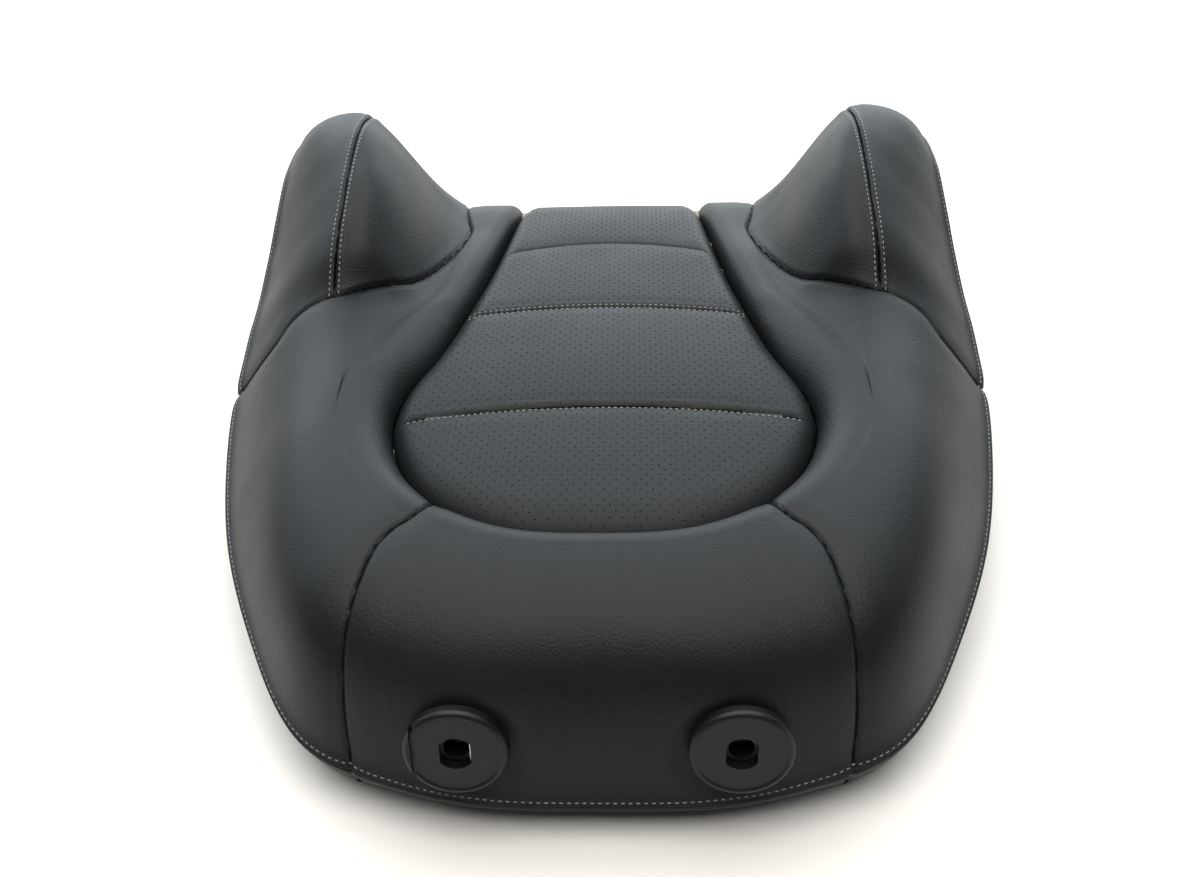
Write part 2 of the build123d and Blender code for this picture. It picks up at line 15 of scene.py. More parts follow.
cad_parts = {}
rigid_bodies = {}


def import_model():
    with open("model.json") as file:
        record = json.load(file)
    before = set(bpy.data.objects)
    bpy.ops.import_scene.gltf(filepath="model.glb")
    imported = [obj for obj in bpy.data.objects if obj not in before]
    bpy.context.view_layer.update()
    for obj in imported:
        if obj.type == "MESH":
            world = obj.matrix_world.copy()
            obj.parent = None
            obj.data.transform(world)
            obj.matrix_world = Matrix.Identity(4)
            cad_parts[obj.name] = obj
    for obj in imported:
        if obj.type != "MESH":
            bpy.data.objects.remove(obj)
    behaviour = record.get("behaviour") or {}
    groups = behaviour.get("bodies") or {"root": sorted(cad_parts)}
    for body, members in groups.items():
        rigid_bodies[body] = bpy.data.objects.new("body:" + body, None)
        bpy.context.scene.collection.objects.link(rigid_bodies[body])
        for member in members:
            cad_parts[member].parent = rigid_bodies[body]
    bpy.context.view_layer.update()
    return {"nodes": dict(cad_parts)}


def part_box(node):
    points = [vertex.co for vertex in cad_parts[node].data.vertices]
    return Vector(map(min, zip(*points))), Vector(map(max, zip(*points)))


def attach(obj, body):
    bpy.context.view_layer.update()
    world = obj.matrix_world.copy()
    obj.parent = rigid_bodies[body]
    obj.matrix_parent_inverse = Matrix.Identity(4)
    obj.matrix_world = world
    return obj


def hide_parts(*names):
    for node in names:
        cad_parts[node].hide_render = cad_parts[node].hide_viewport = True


bl_info = {
    "name": "Trimmed seat backrest",
    "version": (1, 0, 0),
    "blender": (4, 5, 0),
    "location": "3D View > Sidebar > Backrest",
    "description": "Makes the sewn trim, foam and finishes of a car seat backrest",
    "category": "Add Mesh",
}

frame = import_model()
NODES = frame["nodes"]
MM = 0.001
shaft_low, shaft_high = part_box("recliner_shaft")
PIVOT_Y = (shaft_low.y + shaft_high.y) / 2 / MM
PIVOT_STATION = 584.0
FRONT = PIVOT_Y - PIVOT_STATION          # y of station 0
RNG_SEED = 7

# ---------------------------------------------------------------- curves and fields


def smooth_rows(rows, at, even=True):
    """Natural cubic spline through rows at 0, 1, 2..., mirrored about row 0."""
    rows = np.asarray(rows, float)
    sign = 1.0 if even else -1.0
    full = np.concatenate([sign * rows[:0:-1], rows])
    n = len(full)
    a = np.eye(n) * 4.0
    a[0, 0] = a[-1, -1] = 1.0
    for i in range(1, n - 1):
        a[i, i - 1] = a[i, i + 1] = 1.0
    b = np.zeros(n)
    b[1:-1] = 6 * (full[2:] - 2 * full[1:-1] + full[:-2])
    m = np.linalg.solve(a, b)
    t = np.clip(at + len(rows) - 1, 0, n - 1 - 1e-9)
    i = t.astype(int)
    f = t - i
    g = 1 - f
    return (m[i] * g**3 + m[i + 1] * f**3) / 6 + (full[i] - m[i] / 6) * g + (full[i + 1] - m[i + 1] / 6) * f


def steady_rows(xs, ys, at):
    """Cubic through points that never overshoots them."""
    xs, ys = np.asarray(xs, float), np.asarray(ys, float)
    h = np.diff(xs)
    d = np.diff(ys) / h
    m = np.zeros(len(xs))
    for i in range(1, len(xs) - 1):
        if d[i - 1] * d[i] > 0:
            w1, w2 = 2 * h[i] + h[i - 1], h[i] + 2 * h[i - 1]
            m[i] = (w1 + w2) / (w1 / d[i - 1] + w2 / d[i])
    m[-1] = d[-1]
    at = np.clip(at, xs[0], xs[-1])
    i = np.clip(np.searchsorted(xs, at, side="right") - 1, 0, len(xs) - 2)
    t = (at - xs[i]) / h[i]
    return (
        ys[i] * (1 + 2 * t) * (1 - t) ** 2
        + h[i] * m[i] * t * (1 - t) ** 2
        + ys[i + 1] * t * t * (3 - 2 * t)
        + h[i] * m[i + 1] * t * t * (t - 1)
    )


def rounded_line(points, per_span=5):
    """Catmull-Rom line through points, as an array."""
    p = np.asarray(points, float)
    p = np.vstack([2 * p[0] - p[1], p, 2 * p[-1] - p[-2]])
    out = []
    for i in range(1, len(p) - 2):
        for k in range(per_span):
            t = k / per_span
            out.append(
                0.5
                * (
                    2 * p[i]
                    + (p[i + 1] - p[i - 1]) * t
                    + (2 * p[i - 1] - 5 * p[i] + 4 * p[i + 1] - p[i + 2]) * t * t
                    + (3 * p[i] - p[i - 1] - 3 * p[i + 1] + p[i + 2]) * t**3
                )
            )
    out.append(p[-2])
    return np.array(out)


def signed_distance(x, y, line, reach=400.0):
    """Distance to an open line that runs on straight past its ends, positive on its right."""
    first = line[0] + (line[0] - line[1]) / np.linalg.norm(line[0] - line[1]) * reach
    last = line[-1] + (line[-1] - line[-2]) / np.linalg.norm(line[-1] - line[-2]) * reach
    pts = np.vstack([first, line, last])
    best = np.full(x.shape, 1e9)
    sign = np.ones(x.shape)
    for (ax, ay), (bx, by) in zip(pts[:-1], pts[1:]):
        dx, dy = bx - ax, by - ay
        t = np.clip(((x - ax) * dx + (y - ay) * dy) / (dx * dx + dy * dy), 0, 1)
        ex, ey = x - ax - t * dx, y - ay - t * dy
        d = np.hypot(ex, ey)
        near = d < best - 1e-9
        best = np.where(near, d, best)
        sign = np.where(near, np.sign(dy * ex - dx * ey + 1e-12), sign)
    return best * sign


def smooth_step(t):
    t = np.clip(t, 0, 1)
    return t * t * (3 - 2 * t)


# ---------------------------------------------------------------- the pad's surface
# One row per rib of the pad, from the middle of the headrest end to the lumbar end:
# trench x, s, outer seam x, s, then heights of seam and crest, radius of the outer roll,
# its lean, height and radius of the inner lip, flat share of the top, bottom of the trench
RIBS = (
    (0, 119, 0, 0, 24, 133, 76, 0.17, 133, 24, 0, 99),
    (45, 122, 68, 1, 26, 133, 78, 0.17, 133, 24, 0, 99),
    (80, 136, 124, 13, 30, 133, 83, 0.18, 133, 25, 0, 99),
    (108, 158, 172, 37, 36, 133, 78, 0.22, 133, 26, 0, 99),
    (127, 190, 209, 97, 45, 133, 60, 0.30, 132, 30, 0, 99),
    (137, 230, 240, 172, 52, 132, 42, 0.50, 131, 33, 0, 98),
    (132, 268, 258, 248, 58, 131, 40, 0.66, 128, 34, 0, 97),
    (119, 303, 266, 303, 62, 130, 37, 0.74, 123, 34, 0, 94),
    (108, 344, 268, 346, 68, 132, 33, 0.76, 117, 27, 0, 91),
    (102, 372, 268, 374, 74, 153, 31, 0.74, 112, 18, 0.10, 88),
    (96, 400, 267, 402, 80, 168, 29, 0.71, 108, 16, 0.13, 85),
    (89, 440, 265, 444, 95, 181, 29, 0.69, 104, 14, 0.18, 82),
    (83, 482, 263, 486, 114, 186, 30, 0.66, 98, 13, 0.20, 79),
    (78, 522, 261, 526, 129, 181, 32, 0.63, 92, 12, 0.22, 74),
    (75, 550, 259, 553, 132, 166, 34, 0.57, 83, 11, 0.22, 65),
    (74, 566, 258, 568, 126, 140, 36, 0.45, 73, 10, 0.22, 57),
    (74, 574, 258, 575, 100, 104, 36, 0.30, 63, 9, 0.22, 54),
    (74, 577, 258, 578, 62, 63, 38, 0.10, 58, 8, 0.22, 53),
)
LAST_RIB = len(RIBS) - 1
TOP_SEAM = rounded_line(
    [(139, -88), (140, -62), (140.5, -37), (139.3, -10), (137.6, 17), (135, 40), (131, 65), (124, 93),
     (112, 112), (100, 128), (96, 148)]
)
ROOT_SEAM = rounded_line(
    [(275, 316), (238, 322), (223, 336), (202, 344), (180, 349), (157, 361), (141, 377), (128, 407),
     (117, 452), (111, 488), (114, 509), (120, 560), (122, 585)]
)
WING_SEAM = rounded_line([(194, 300), (192, 350), (190, 420), (188, 490), (186, 560), (186, 585)])
BAND_SPLIT = 139.0
BAND_FOOT = 8.0
BAND_INSET = 9.0
INSERT_SEAMS = ((238, 12, 131), (361, 10, 104), (464, 18, 86))   # station, bow, half-width
INSERT_TOP = ((100, 118), (119, 118), (241, 117), (361, 110), (464, 99.5), (522, 91), (545, 84),
              (560, 75), (570, 66), (577, 56))
SPINE_START = 235.0
TRENCH_GAP = -0.4
FULLNESS = ((0, 3, 6), (2.2, 2.0, 1.65))        # how square the outer roll is at these ribs
NOTCH_X = 205.0
NOTCH_STATION = PIVOT_STATION - 44
NOTCH_TOP = 92.0


def rib_values(v):
    """Each column of RIBS at positions v, with x negative on the -X side."""
    cols = np.array(RIBS, float).T
    side = np.abs(v)
    index = np.arange(len(RIBS))
    out = []
    for k, col in enumerate(cols):
        if k in (0, 2):
            out.append(smooth_rows(col, v, even=False))
        elif k in (1, 3):
            out.append(smooth_rows(col, v))
        else:
            out.append(steady_rows(index, col, side))
    return out


def collar(u, v):
    """Pad surface: u 0-1 inner lip, 1-2 top, 2-3 outer roll, 3-4 band; v along the ribs."""
    ix, i_s, ox, o_s, z_seam, z_crest, roll, lean, z_lip, lip, strip, z_low = rib_values(v)
    length = np.hypot(ox - ix, o_s - i_s)
    ex, es = (ox - ix) / length, (o_s - i_s) / length
    rise = z_crest - z_seam
    crest_t = length - lean * rise - roll
    a = np.clip(u, 0, 1) * math.pi / 2
    b = np.clip(u - 1, 0, 1)
    c = (1 - np.clip(u - 2, 0, 1)) * math.pi / 2
    d = np.clip(u - 3, 0, 1)
    flat = np.clip((b - strip) / (1 - strip), 0, 1)
    full = np.interp(np.abs(v), *FULLNESS)
    t = np.where(
        u <= 1,
        lip * (1 - np.cos(a)),
        np.where(
            u <= 2,
            lip + (crest_t - lip) * b,
            length - lean * rise * np.sin(c) - roll * (1 - np.cos(c)) ** full,
        ),
    )
    z = np.where(
        u <= 1,
        z_low + (z_lip - z_low) * np.sin(a),
        np.where(u <= 2, z_lip + (z_crest - z_lip) * (1 - np.cos(math.pi * flat)) / 2, z_seam + rise * np.sin(c)),
    )
    drop = np.clip(d / 0.88, 0, 1)
    tuck = smooth_step((d - 0.88) / 0.12)
    t = np.where(u > 3, length - BAND_INSET * drop**1.6 - 4.5 * tuck, t)
    z = np.where(u > 3, z_seam + (BAND_FOOT - z_seam) * drop + 1.0 * tuck, z)
    return np.stack([ix + ex * t, i_s + es * t, z], -1)


def insert_base(w, v):
    """Insert surface: w 0 at its outline, 1 on the middle line; v along the ribs."""
    ix, i_s, _, _, _, _, _, _, _, _, _, z_low = rib_values(v)
    mid = np.maximum(i_s, SPINE_START)
    reach = w**1.5
    edge = TRENCH_GAP / np.hypot(ix, i_s - mid + 1e-6)
    reach = edge + (1 - edge) * reach
    x = ix * (1 - reach)
    s = i_s + (mid - i_s) * reach
    far = np.abs(signed_distance(np.abs(x), s, OUTLINE, 0.01))
    front = smooth_step((230 - i_s) / 90)
    radius = 17 + 9 * front
    tops = steady_rows(*zip(*INSERT_TOP), s)
    edge_top = steady_rows(*zip(*INSERT_TOP), i_s)
    depth = np.maximum(edge_top - z_low, 1.0) + 1.5
    q = np.clip(1 - far / radius, 0, 1)
    z = tops - 3.0 * (x / 138) ** 2 - depth * (1 - np.sqrt(np.clip(1 - q * q, 0, 1)))
    return np.stack([x, s, z], -1), far


EDGE_V = np.linspace(0, LAST_RIB, 120)
OUTLINE = np.stack(rib_values(EDGE_V)[:2], -1)      # half of the insert's outline


def collar_fields(u, v):
    """Signed distances of pad points to the top, wing-root and wing seams."""
    p = collar(u, v)
    x, s, z = np.abs(p[..., 0]), p[..., 1], p[..., 2]
    over = np.where(u > 2, 0.8 * (z - 136), 0.0)
    return {
        "top": signed_distance(x, s + over, TOP_SEAM),
        "root": signed_distance(x, s, ROOT_SEAM),
        "wing": signed_distance(x, s, WING_SEAM),
    }


def normals_of(surface, u, v, du, dv):
    """Unit normals of a surface function, outwards."""
    a = surface(u + du, v) - surface(u - du, v)
    b = surface(u, v + dv) - surface(u, v - dv)
    n = np.cross(a, b)
    size = np.linalg.norm(n, axis=-1, keepdims=True)
    return n / np.maximum(size, 1e-9)


# ---------------------------------------------------------------- cutting a surface into panels


class Leather:
    """Triangles over points that carry their place on the surface and their seam distances."""

    def __init__(self, points, tris):
        self.points, self.tris = points, tris

    def cut(self, column, offset=0.0, snap=0.2):
        """Cuts along column = offset, and returns what is above it and below it."""
        f = self.points[:, column] - offset
        f[np.abs(f) < snap] = 0.0
        tri_f = f[self.tris]
        pos, neg = (tri_f > 0).any(1), (tri_f < 0).any(1)
        made, fresh, more = {}, [], {1: [], -1: []}

        def crossing(i, j):
            key = (min(i, j), max(i, j))
            if key not in made:
                made[key] = len(self.points) + len(fresh)
                t = f[i] / (f[i] - f[j])
                fresh.append(self.points[i] + (self.points[j] - self.points[i]) * t)
            return made[key]

        for tri in self.tris[pos & neg].tolist():
            signs = [np.sign(f[k]) for k in tri]
            if 0 in signs:
                k = signs.index(0)
                a, b, c = tri[k], tri[(k + 1) % 3], tri[(k + 2) % 3]
                m = crossing(b, c)
                more[1 if f[b] > 0 else -1].append((a, b, m))
                more[1 if f[c] > 0 else -1].append((a, m, c))
                continue
            k = signs.index(1) if signs.count(1) == 1 else signs.index(-1)
            a, b, c = tri[k], tri[(k + 1) % 3], tri[(k + 2) % 3]
            m, n = crossing(a, b), crossing(a, c)
            side = 1 if f[a] > 0 else -1
            more[side].append((a, m, n))
            more[-side] += [(m, b, c), (m, c, n)]
        points = np.vstack([self.points] + ([np.array(fresh)] if fresh else []))
        sides = []
        for whole, extra in ((pos & ~neg, more[1]), (neg & ~pos, more[-1])):
            tris = np.vstack([self.tris[whole]] + ([np.array(extra, int)] if extra else []))
            sides.append(Leather(points, tris))
        return sides

    def scored(self, column, offsets):
        """The same surface with edges along column = each offset."""
        whole = self
        for offset in offsets:
            a, b = whole.cut(column, offset)
            whole = Leather(a.points, np.vstack([a.tris, b.tris]))
        return whole


def leather_grid(ps, qs, fields):
    """Grid over two lists of coordinates, with the fields of each point beside them."""
    n, m = len(ps), len(qs)
    pq = np.stack(np.meshgrid(ps, qs, indexing="ij"), -1).reshape(-1, 2)
    i, j = np.meshgrid(np.arange(n - 1), np.arange(m - 1), indexing="ij")
    a = (i * m + j).ravel()
    quads = np.stack([a, a + m, a + m + 1, a + 1], -1)
    points = np.column_stack([pq, *fields(pq[:, 0], pq[:, 1])])
    return Leather(points, np.vstack([quads[:, [0, 1, 2]], quads[:, [0, 2, 3]]]))


def mesh_object(name, points_mm, faces, attributes=None, smooth=True):
    """Mesh in metres from points given as x, station, z in millimetres."""
    pts = np.array(points_mm, float)
    pts[:, 1] += FRONT
    mesh = bpy.data.meshes.new(name)
    mesh.from_pydata((pts * MM).tolist(), [], [list(map(int, f)) for f in faces])
    for key, values in (attributes or {}).items():
        layer = mesh.attributes.new(key, "FLOAT", "POINT")
        layer.data.foreach_set("value", np.asarray(values, np.float32))
    mesh.update()
    if smooth:
        mesh.shade_smooth()
    obj = bpy.data.objects.new(name, mesh)
    bpy.context.scene.collection.objects.link(obj)
    return obj


# ---------------------------------------------------------------- cloth simulation


def pressed_out(name, points_mm, quads, pins, settings):
    """Runs the leather under the foam's pressure and returns how far each point moves, mm."""
    obj = mesh_object(name, points_mm, quads)
    group = obj.vertex_groups.new(name="sewn")
    for level in np.unique(pins):
        group.add([int(i) for i in np.where(pins == level)[0]], float(level), "REPLACE")
    mod = obj.modifiers.new("leather", "CLOTH")
    cloth = mod.settings
    cloth.quality = 6
    cloth.mass = 0.35
    cloth.tension_stiffness = cloth.compression_stiffness = settings.leather_stiffness
    cloth.shear_stiffness = settings.leather_stiffness * 0.5
    cloth.bending_stiffness = 6.0
    cloth.air_damping = 3.0
    cloth.use_pressure = True
    cloth.uniform_pressure_force = settings.foam_pressure
    cloth.vertex_group_mass = "sewn"
    cloth.effector_weights.gravity = 0
    mod.collision_settings.use_collision = False
    mod.point_cache.frame_start, mod.point_cache.frame_end = 1, 20
    scene = bpy.context.scene
    for step in range(1, 21):
        scene.frame_set(step)
    view = obj.evaluated_get(bpy.context.evaluated_depsgraph_get())
    co = np.zeros(len(obj.data.vertices) * 3)
    view.data.vertices.foreach_get("co", co)
    rest = np.zeros(len(obj.data.vertices) * 3)
    obj.data.vertices.foreach_get("co", rest)
    scene.frame_set(1)
    bpy.data.objects.remove(obj)
    return (co - rest).reshape(-1, 3) / MM


def capped(move, limit):
    size = np.linalg.norm(move, axis=-1, keepdims=True)
    return move * np.where(size > 0, limit * np.tanh(size / limit) / np.maximum(size, 1e-9), 0)


def grid_reader(ps, qs, values):
    """Bilinear reader of values kept on a grid."""
    def read(p, q):
        fp = np.interp(p, ps, np.arange(len(ps)))
        fq = np.interp(q, qs, np.arange(len(qs)))
        i = np.clip(fp.astype(int), 0, len(ps) - 2)
        j = np.clip(fq.astype(int), 0, len(qs) - 2)
        a, b = (fp - i)[..., None], (fq - j)[..., None]
        return (
            values[i, j] * (1 - a) * (1 - b)
            + values[i + 1, j] * a * (1 - b)
            + values[i, j + 1] * (1 - a) * b
            + values[i + 1, j + 1] * a * b
        )
    return read


def quads_of(n, m):
    i, j = np.meshgrid(np.arange(n - 1), np.arange(m - 1), indexing="ij")
    a = (i * m + j).ravel()
    return np.stack([a, a + m, a + m + 1, a + 1], -1)


def pin_near(distance, free=24.0):
    """1 on a seam, falling to 0 a few millimetres from it, in eighths."""
    return np.round((1 - smooth_step((distance - 3) / free)) * 8) / 8


def collar_puff(settings):
    """How the pressure lifts the pad's covers between their seams."""
    us = np.concatenate([np.linspace(0, 1, 4)[:-1], np.linspace(1, 2, 11)[:-1], np.linspace(2, 3, 12)])
    vs = columns(190)
    u, v = np.meshgrid(us, vs, indexing="ij")
    d = collar_fields(u, v)
    near = np.minimum(np.abs(d["top"]), np.abs(d["root"]))
    near = np.minimum(near, np.where(d["root"] > 0, np.abs(d["wing"]), 99))
    p = collar(u, v)
    near = np.minimum(near, np.where(u < 1, 0, np.hypot(*(p - collar(np.full_like(u, 1.0), v))[..., :2].T).T))
    seam = collar(np.full_like(u, 3.0), v)
    near = np.minimum(near, np.linalg.norm(p - seam, axis=-1))
    near = np.minimum(near, np.where(np.abs(v) > LAST_RIB - 1.5, 0, 99))
    move = pressed_out("pad_sim", p.reshape(-1, 3), quads_of(*u.shape), pin_near(near).ravel(), settings)
    return grid_reader(us, vs, capped(move, settings.puff_limit * 1000).reshape(*u.shape, 3))


def insert_puff(settings):
    """How the pressure lifts the insert between its seams, on a plain grid in plan."""
    xs, ss = np.arange(-140, 141, 8.0), np.arange(112, 585, 8.0)
    x, s = np.meshgrid(xs, ss, indexing="ij")
    far = signed_distance(np.abs(x), s, OUTLINE, 0.01)
    near = np.clip(-far - 6, 0, 99)
    for d in insert_fields(x, s):
        near = np.minimum(near, np.abs(d))
    z = steady_rows(*zip(*INSERT_TOP), s) - 3.0 * (x / 138) ** 2
    p = np.stack([x, s, z], -1).reshape(-1, 3)
    move = pressed_out("insert_sim", p, quads_of(*x.shape), pin_near(near, 26).ravel(), settings)
    return grid_reader(xs, ss, capped(move, settings.puff_limit * 1000).reshape(*x.shape, 3))


def insert_fields(x, s):
    """Signed distance to each sewn line across the insert, positive towards the lumbar end."""
    return [s - (at - bow * (x / half) ** 2) for at, bow, half in INSERT_SEAMS]


def columns(count):
    """Rib positions evenly spaced along the outer seam."""
    v = np.linspace(-LAST_RIB, LAST_RIB, 1201)
    p = collar(np.full_like(v, 3.0), v)
    run = np.concatenate([[0], np.cumsum(np.linalg.norm(np.diff(p, axis=0), axis=1))])
    return np.interp(np.linspace(0, run[-1], count), run, v)


# ---------------------------------------------------------------- seams, grooves and dents
GUIDE_X = 76.0
GUIDE_STATION = 2.0
GUIDE_HEIGHT = 67.0
GUIDE_TILT = math.radians(11)
BEZEL_RADIUS = 28.5
BEZEL_BACK = -7.0
SLEEVE_HOLE = 11.0
U, V, TOP, ROOT, WING, HEM, NOTCH, HOLE = range(8)      # columns of the pad's points


def crease(d, depth, width):
    return -depth * np.exp(-((d / width) ** 2))


def felled(d, row):
    """Seam laid open and stitched down both sides: a line, two raised folds, two stitch rows."""
    a = np.abs(d)
    fold = 0.7 * np.exp(-(((a - row * 0.95) / (row * 0.62)) ** 2))
    return crease(d, 1.9, 1.0) + fold + crease(a - row, 0.35, 0.8)


def pad_fields(u, v):
    """What the pad's points carry beside u and v."""
    d = collar_fields(u, v)
    p, seam = collar(u, v), collar(np.full_like(u, 3.0), v)
    hem = np.linalg.norm(p - seam, axis=-1) * np.sign(u - 3)
    notch = np.maximum(np.maximum(NOTCH_X - np.abs(p[:, 0]), NOTCH_STATION - p[:, 1]), p[:, 2] - NOTCH_TOP)
    notch = np.where(np.abs(v) > LAST_RIB - 6, notch, 50.0)
    local = guide_place(p)
    hole = np.where(u > 2, np.hypot(local[:, 0], local[:, 1]) - SLEEVE_HOLE, 50.0)
    return d["top"], d["root"], d["wing"], hem, notch, hole


def guide_place(p):
    """Points in the axes of the guide on their own side: across, up its face, out of it."""
    c, s = math.cos(GUIDE_TILT), math.sin(GUIDE_TILT)
    y, z = p[..., 1] - GUIDE_STATION, p[..., 2] - GUIDE_HEIGHT
    return np.stack([np.abs(p[..., 0]) - GUIDE_X, y * s + z * c, z * s - y * c], -1)


def dented(p):
    """Presses the points in under the bezels."""
    local = guide_place(p)
    r = np.hypot(local[..., 0], local[..., 1])
    limit = BEZEL_BACK - 0.5 + 9 * np.clip((r - BEZEL_RADIUS - 0.5) / 20, 0, None) ** 1.6
    over = local[..., 2] - limit
    soft = 1.5
    push = np.where(r < 60, np.maximum(over, 0) + soft * np.exp(-np.abs(over) / soft) * 0.5, 0)
    push *= smooth_step((60 - r) / 25)
    p = p.copy()
    p[..., 1] += push * math.cos(GUIDE_TILT)
    p[..., 2] -= push * math.sin(GUIDE_TILT)
    return p


def pad_skin(points, puff):
    """Places of the pad's points, with seams drawn in and the foam's lift."""
    u, v, top, root, wing, hem = (points[:, k] for k in (U, V, TOP, ROOT, WING, HEM))
    p = collar(u, v)
    n = normals_of(collar, u, v, 0.01, 0.02)
    on_wing = smooth_step((root - 1) / 7) * (u < 3)
    on_band = smooth_step((u - 3) / 0.15)
    lift = (crease(top, 1.7, 1.5) + crease(top, 1.3, 8.0)) * (1 - on_band)
    lift += crease(root, 2.1, 1.8) + crease(root, 1.5, 8.5)
    lift += felled(wing, 3.4) * on_wing
    lift += crease(hem, 1.1, 1.2) + 0.4 * np.exp(-(((np.abs(hem) - 3.4) / 2.2) ** 2))
    lift += crease(np.abs(hem) - 3.4, 0.35, 0.8) - crease(hem, 1.4, 6.5)
    split = np.where(p[:, 1] < 120, np.abs(p[:, 0]) - BAND_SPLIT, 99.0)
    lift += crease(split, 1.2, 1.6) * on_band
    return dented(p + puff(u, v) + n * lift[:, None])


IN_EDGE, SEAM_A, SEAM_B, SEAM_C = 2, 3, 4, 5              # columns of the insert's points


def insert_columns(w, v):
    p, far = insert_base(w, v)
    return (far, *insert_fields(p[:, 0], p[:, 1]))


def insert_skin(points, puff):
    """Places of the insert's points, with its sewn lines and the foam's lift."""
    w, v = points[:, 0], points[:, 1]
    p, far = insert_base(w, v)
    n = -normals_of(lambda a, b: insert_base(a, b)[0], np.clip(w, 0.02, 0.98), v, 0.01, 0.02)
    a, b, c = (points[:, k] for k in (SEAM_A, SEAM_B, SEAM_C))
    lift = crease(a, 1.5, 1.5) + crease(a, 1.8, 8)
    lift += crease(b, 1.4, 1.3) + crease(b, 1.6, 8) + crease(c, 0.8, 1.8) + crease(c, 1.2, 9)
    lift += 0.7 * np.exp(-(((a - 4.0) / 2.6) ** 2)) + 0.5 * np.exp(-(((b - 4.0) / 2.6) ** 2))
    inner = smooth_step((far - 2) / 14)
    lifted = p + n * (lift * inner)[:, None]
    lifted[:, 2] += puff(p[:, 0], p[:, 1])[:, 2] * inner
    return lifted


def merged(points, tris, grain=0.01):
    """Points that fall together become one, and faces with no area go."""
    _, first, back = np.unique(np.round(points / grain).astype(np.int64), axis=0, return_index=True, return_inverse=True)
    tris = back.ravel()[tris]
    good = (tris[:, 0] != tris[:, 1]) & (tris[:, 1] != tris[:, 2]) & (tris[:, 0] != tris[:, 2])
    tris = tris[good]
    used, index = np.unique(tris, return_inverse=True)
    return points[first[used]], index.reshape(tris.shape), first[used]


def thicken(obj, thickness):
    mod = obj.modifiers.new("leather_thickness", "SOLIDIFY")
    mod.thickness = thickness
    mod.offset = -1
    mod.use_rim = True
    mod.use_even_offset = False


# ---------------------------------------------------------------- node helpers


def add(tree, kind, links=None, **settings):
    """Adds a node with its settings, and its inputs set or linked."""
    node = tree.nodes.new(kind)
    for key, value in settings.items():
        setattr(node, key, value)
    for key, value in (links or {}).items():
        if isinstance(value, bpy.types.NodeSocket):
            tree.links.new(value, node.inputs[key])
        else:
            node.inputs[key].default_value = value
    return node


def linear(hex_colour):
    """Linear RGBA of an sRGB hex colour."""
    parts = [int(hex_colour[i : i + 2], 16) / 255 for i in (1, 3, 5)]
    return [c / 12.92 if c <= 0.04045 else ((c + 0.055) / 1.055) ** 2.4 for c in parts] + [1.0]


def new_material(name, **values):
    """Material with a principled shader whose steady values are set on its sockets."""
    material = bpy.data.materials.new(name)
    material.use_nodes = True
    tree = material.node_tree
    shader = tree.nodes["Principled BSDF"]
    for key, value in values.items():
        shader.inputs[key.replace("_", " ")].default_value = value
    place = add(tree, "ShaderNodeTexCoord").outputs["Object"]
    return material, tree, shader, place


def varied(tree, place, shader, dark, light, size_mm, socket="Base Color"):
    """Slow change of colour over the piece."""
    noise = add(tree, "ShaderNodeTexNoise", {"Vector": place, "Scale": 1000 / size_mm, "Detail": 3.0, "Roughness": 0.55})
    ramp = add(tree, "ShaderNodeValToRGB", {"Fac": noise.outputs["Fac"]})
    ramp.color_ramp.elements[0].position, ramp.color_ramp.elements[1].position = 0.35, 0.65
    ramp.color_ramp.elements[0].color, ramp.color_ramp.elements[1].color = linear(dark), linear(light)
    tree.links.new(ramp.outputs["Color"], shader.inputs[socket])
    return ramp.outputs["Color"], noise.outputs["Fac"]


def ranged(tree, value, low, high, shader, socket="Roughness", start=0.0, end=1.0):
    out = add(tree, "ShaderNodeMapRange", {"Value": value, "From Min": start, "From Max": end, "To Min": low, "To Max": high})
    tree.links.new(out.outputs["Result"], shader.inputs[socket])


def bumped(tree, shader, layers):
    """Chains bump layers: (height socket, real height in mm, strength)."""
    normal = None
    for height, height_mm, strength in layers:
        links = {"Height": height, "Distance": height_mm * MM, "Strength": strength}
        if normal is not None:
            links["Normal"] = normal
        normal = add(tree, "ShaderNodeBump", links).outputs["Normal"]
    tree.links.new(normal, shader.inputs["Normal"])
    return normal


def cells(tree, place, size_mm, feature="F1", **more):
    return add(tree, "ShaderNodeTexVoronoi", {"Vector": place, "Scale": 1000 / size_mm, **more}, feature=feature)


def noise(tree, place, size_mm, detail=2.0):
    return add(tree, "ShaderNodeTexNoise", {"Vector": place, "Scale": 1000 / size_mm, "Detail": detail}).outputs["Fac"]


# ---------------------------------------------------------------- finishes


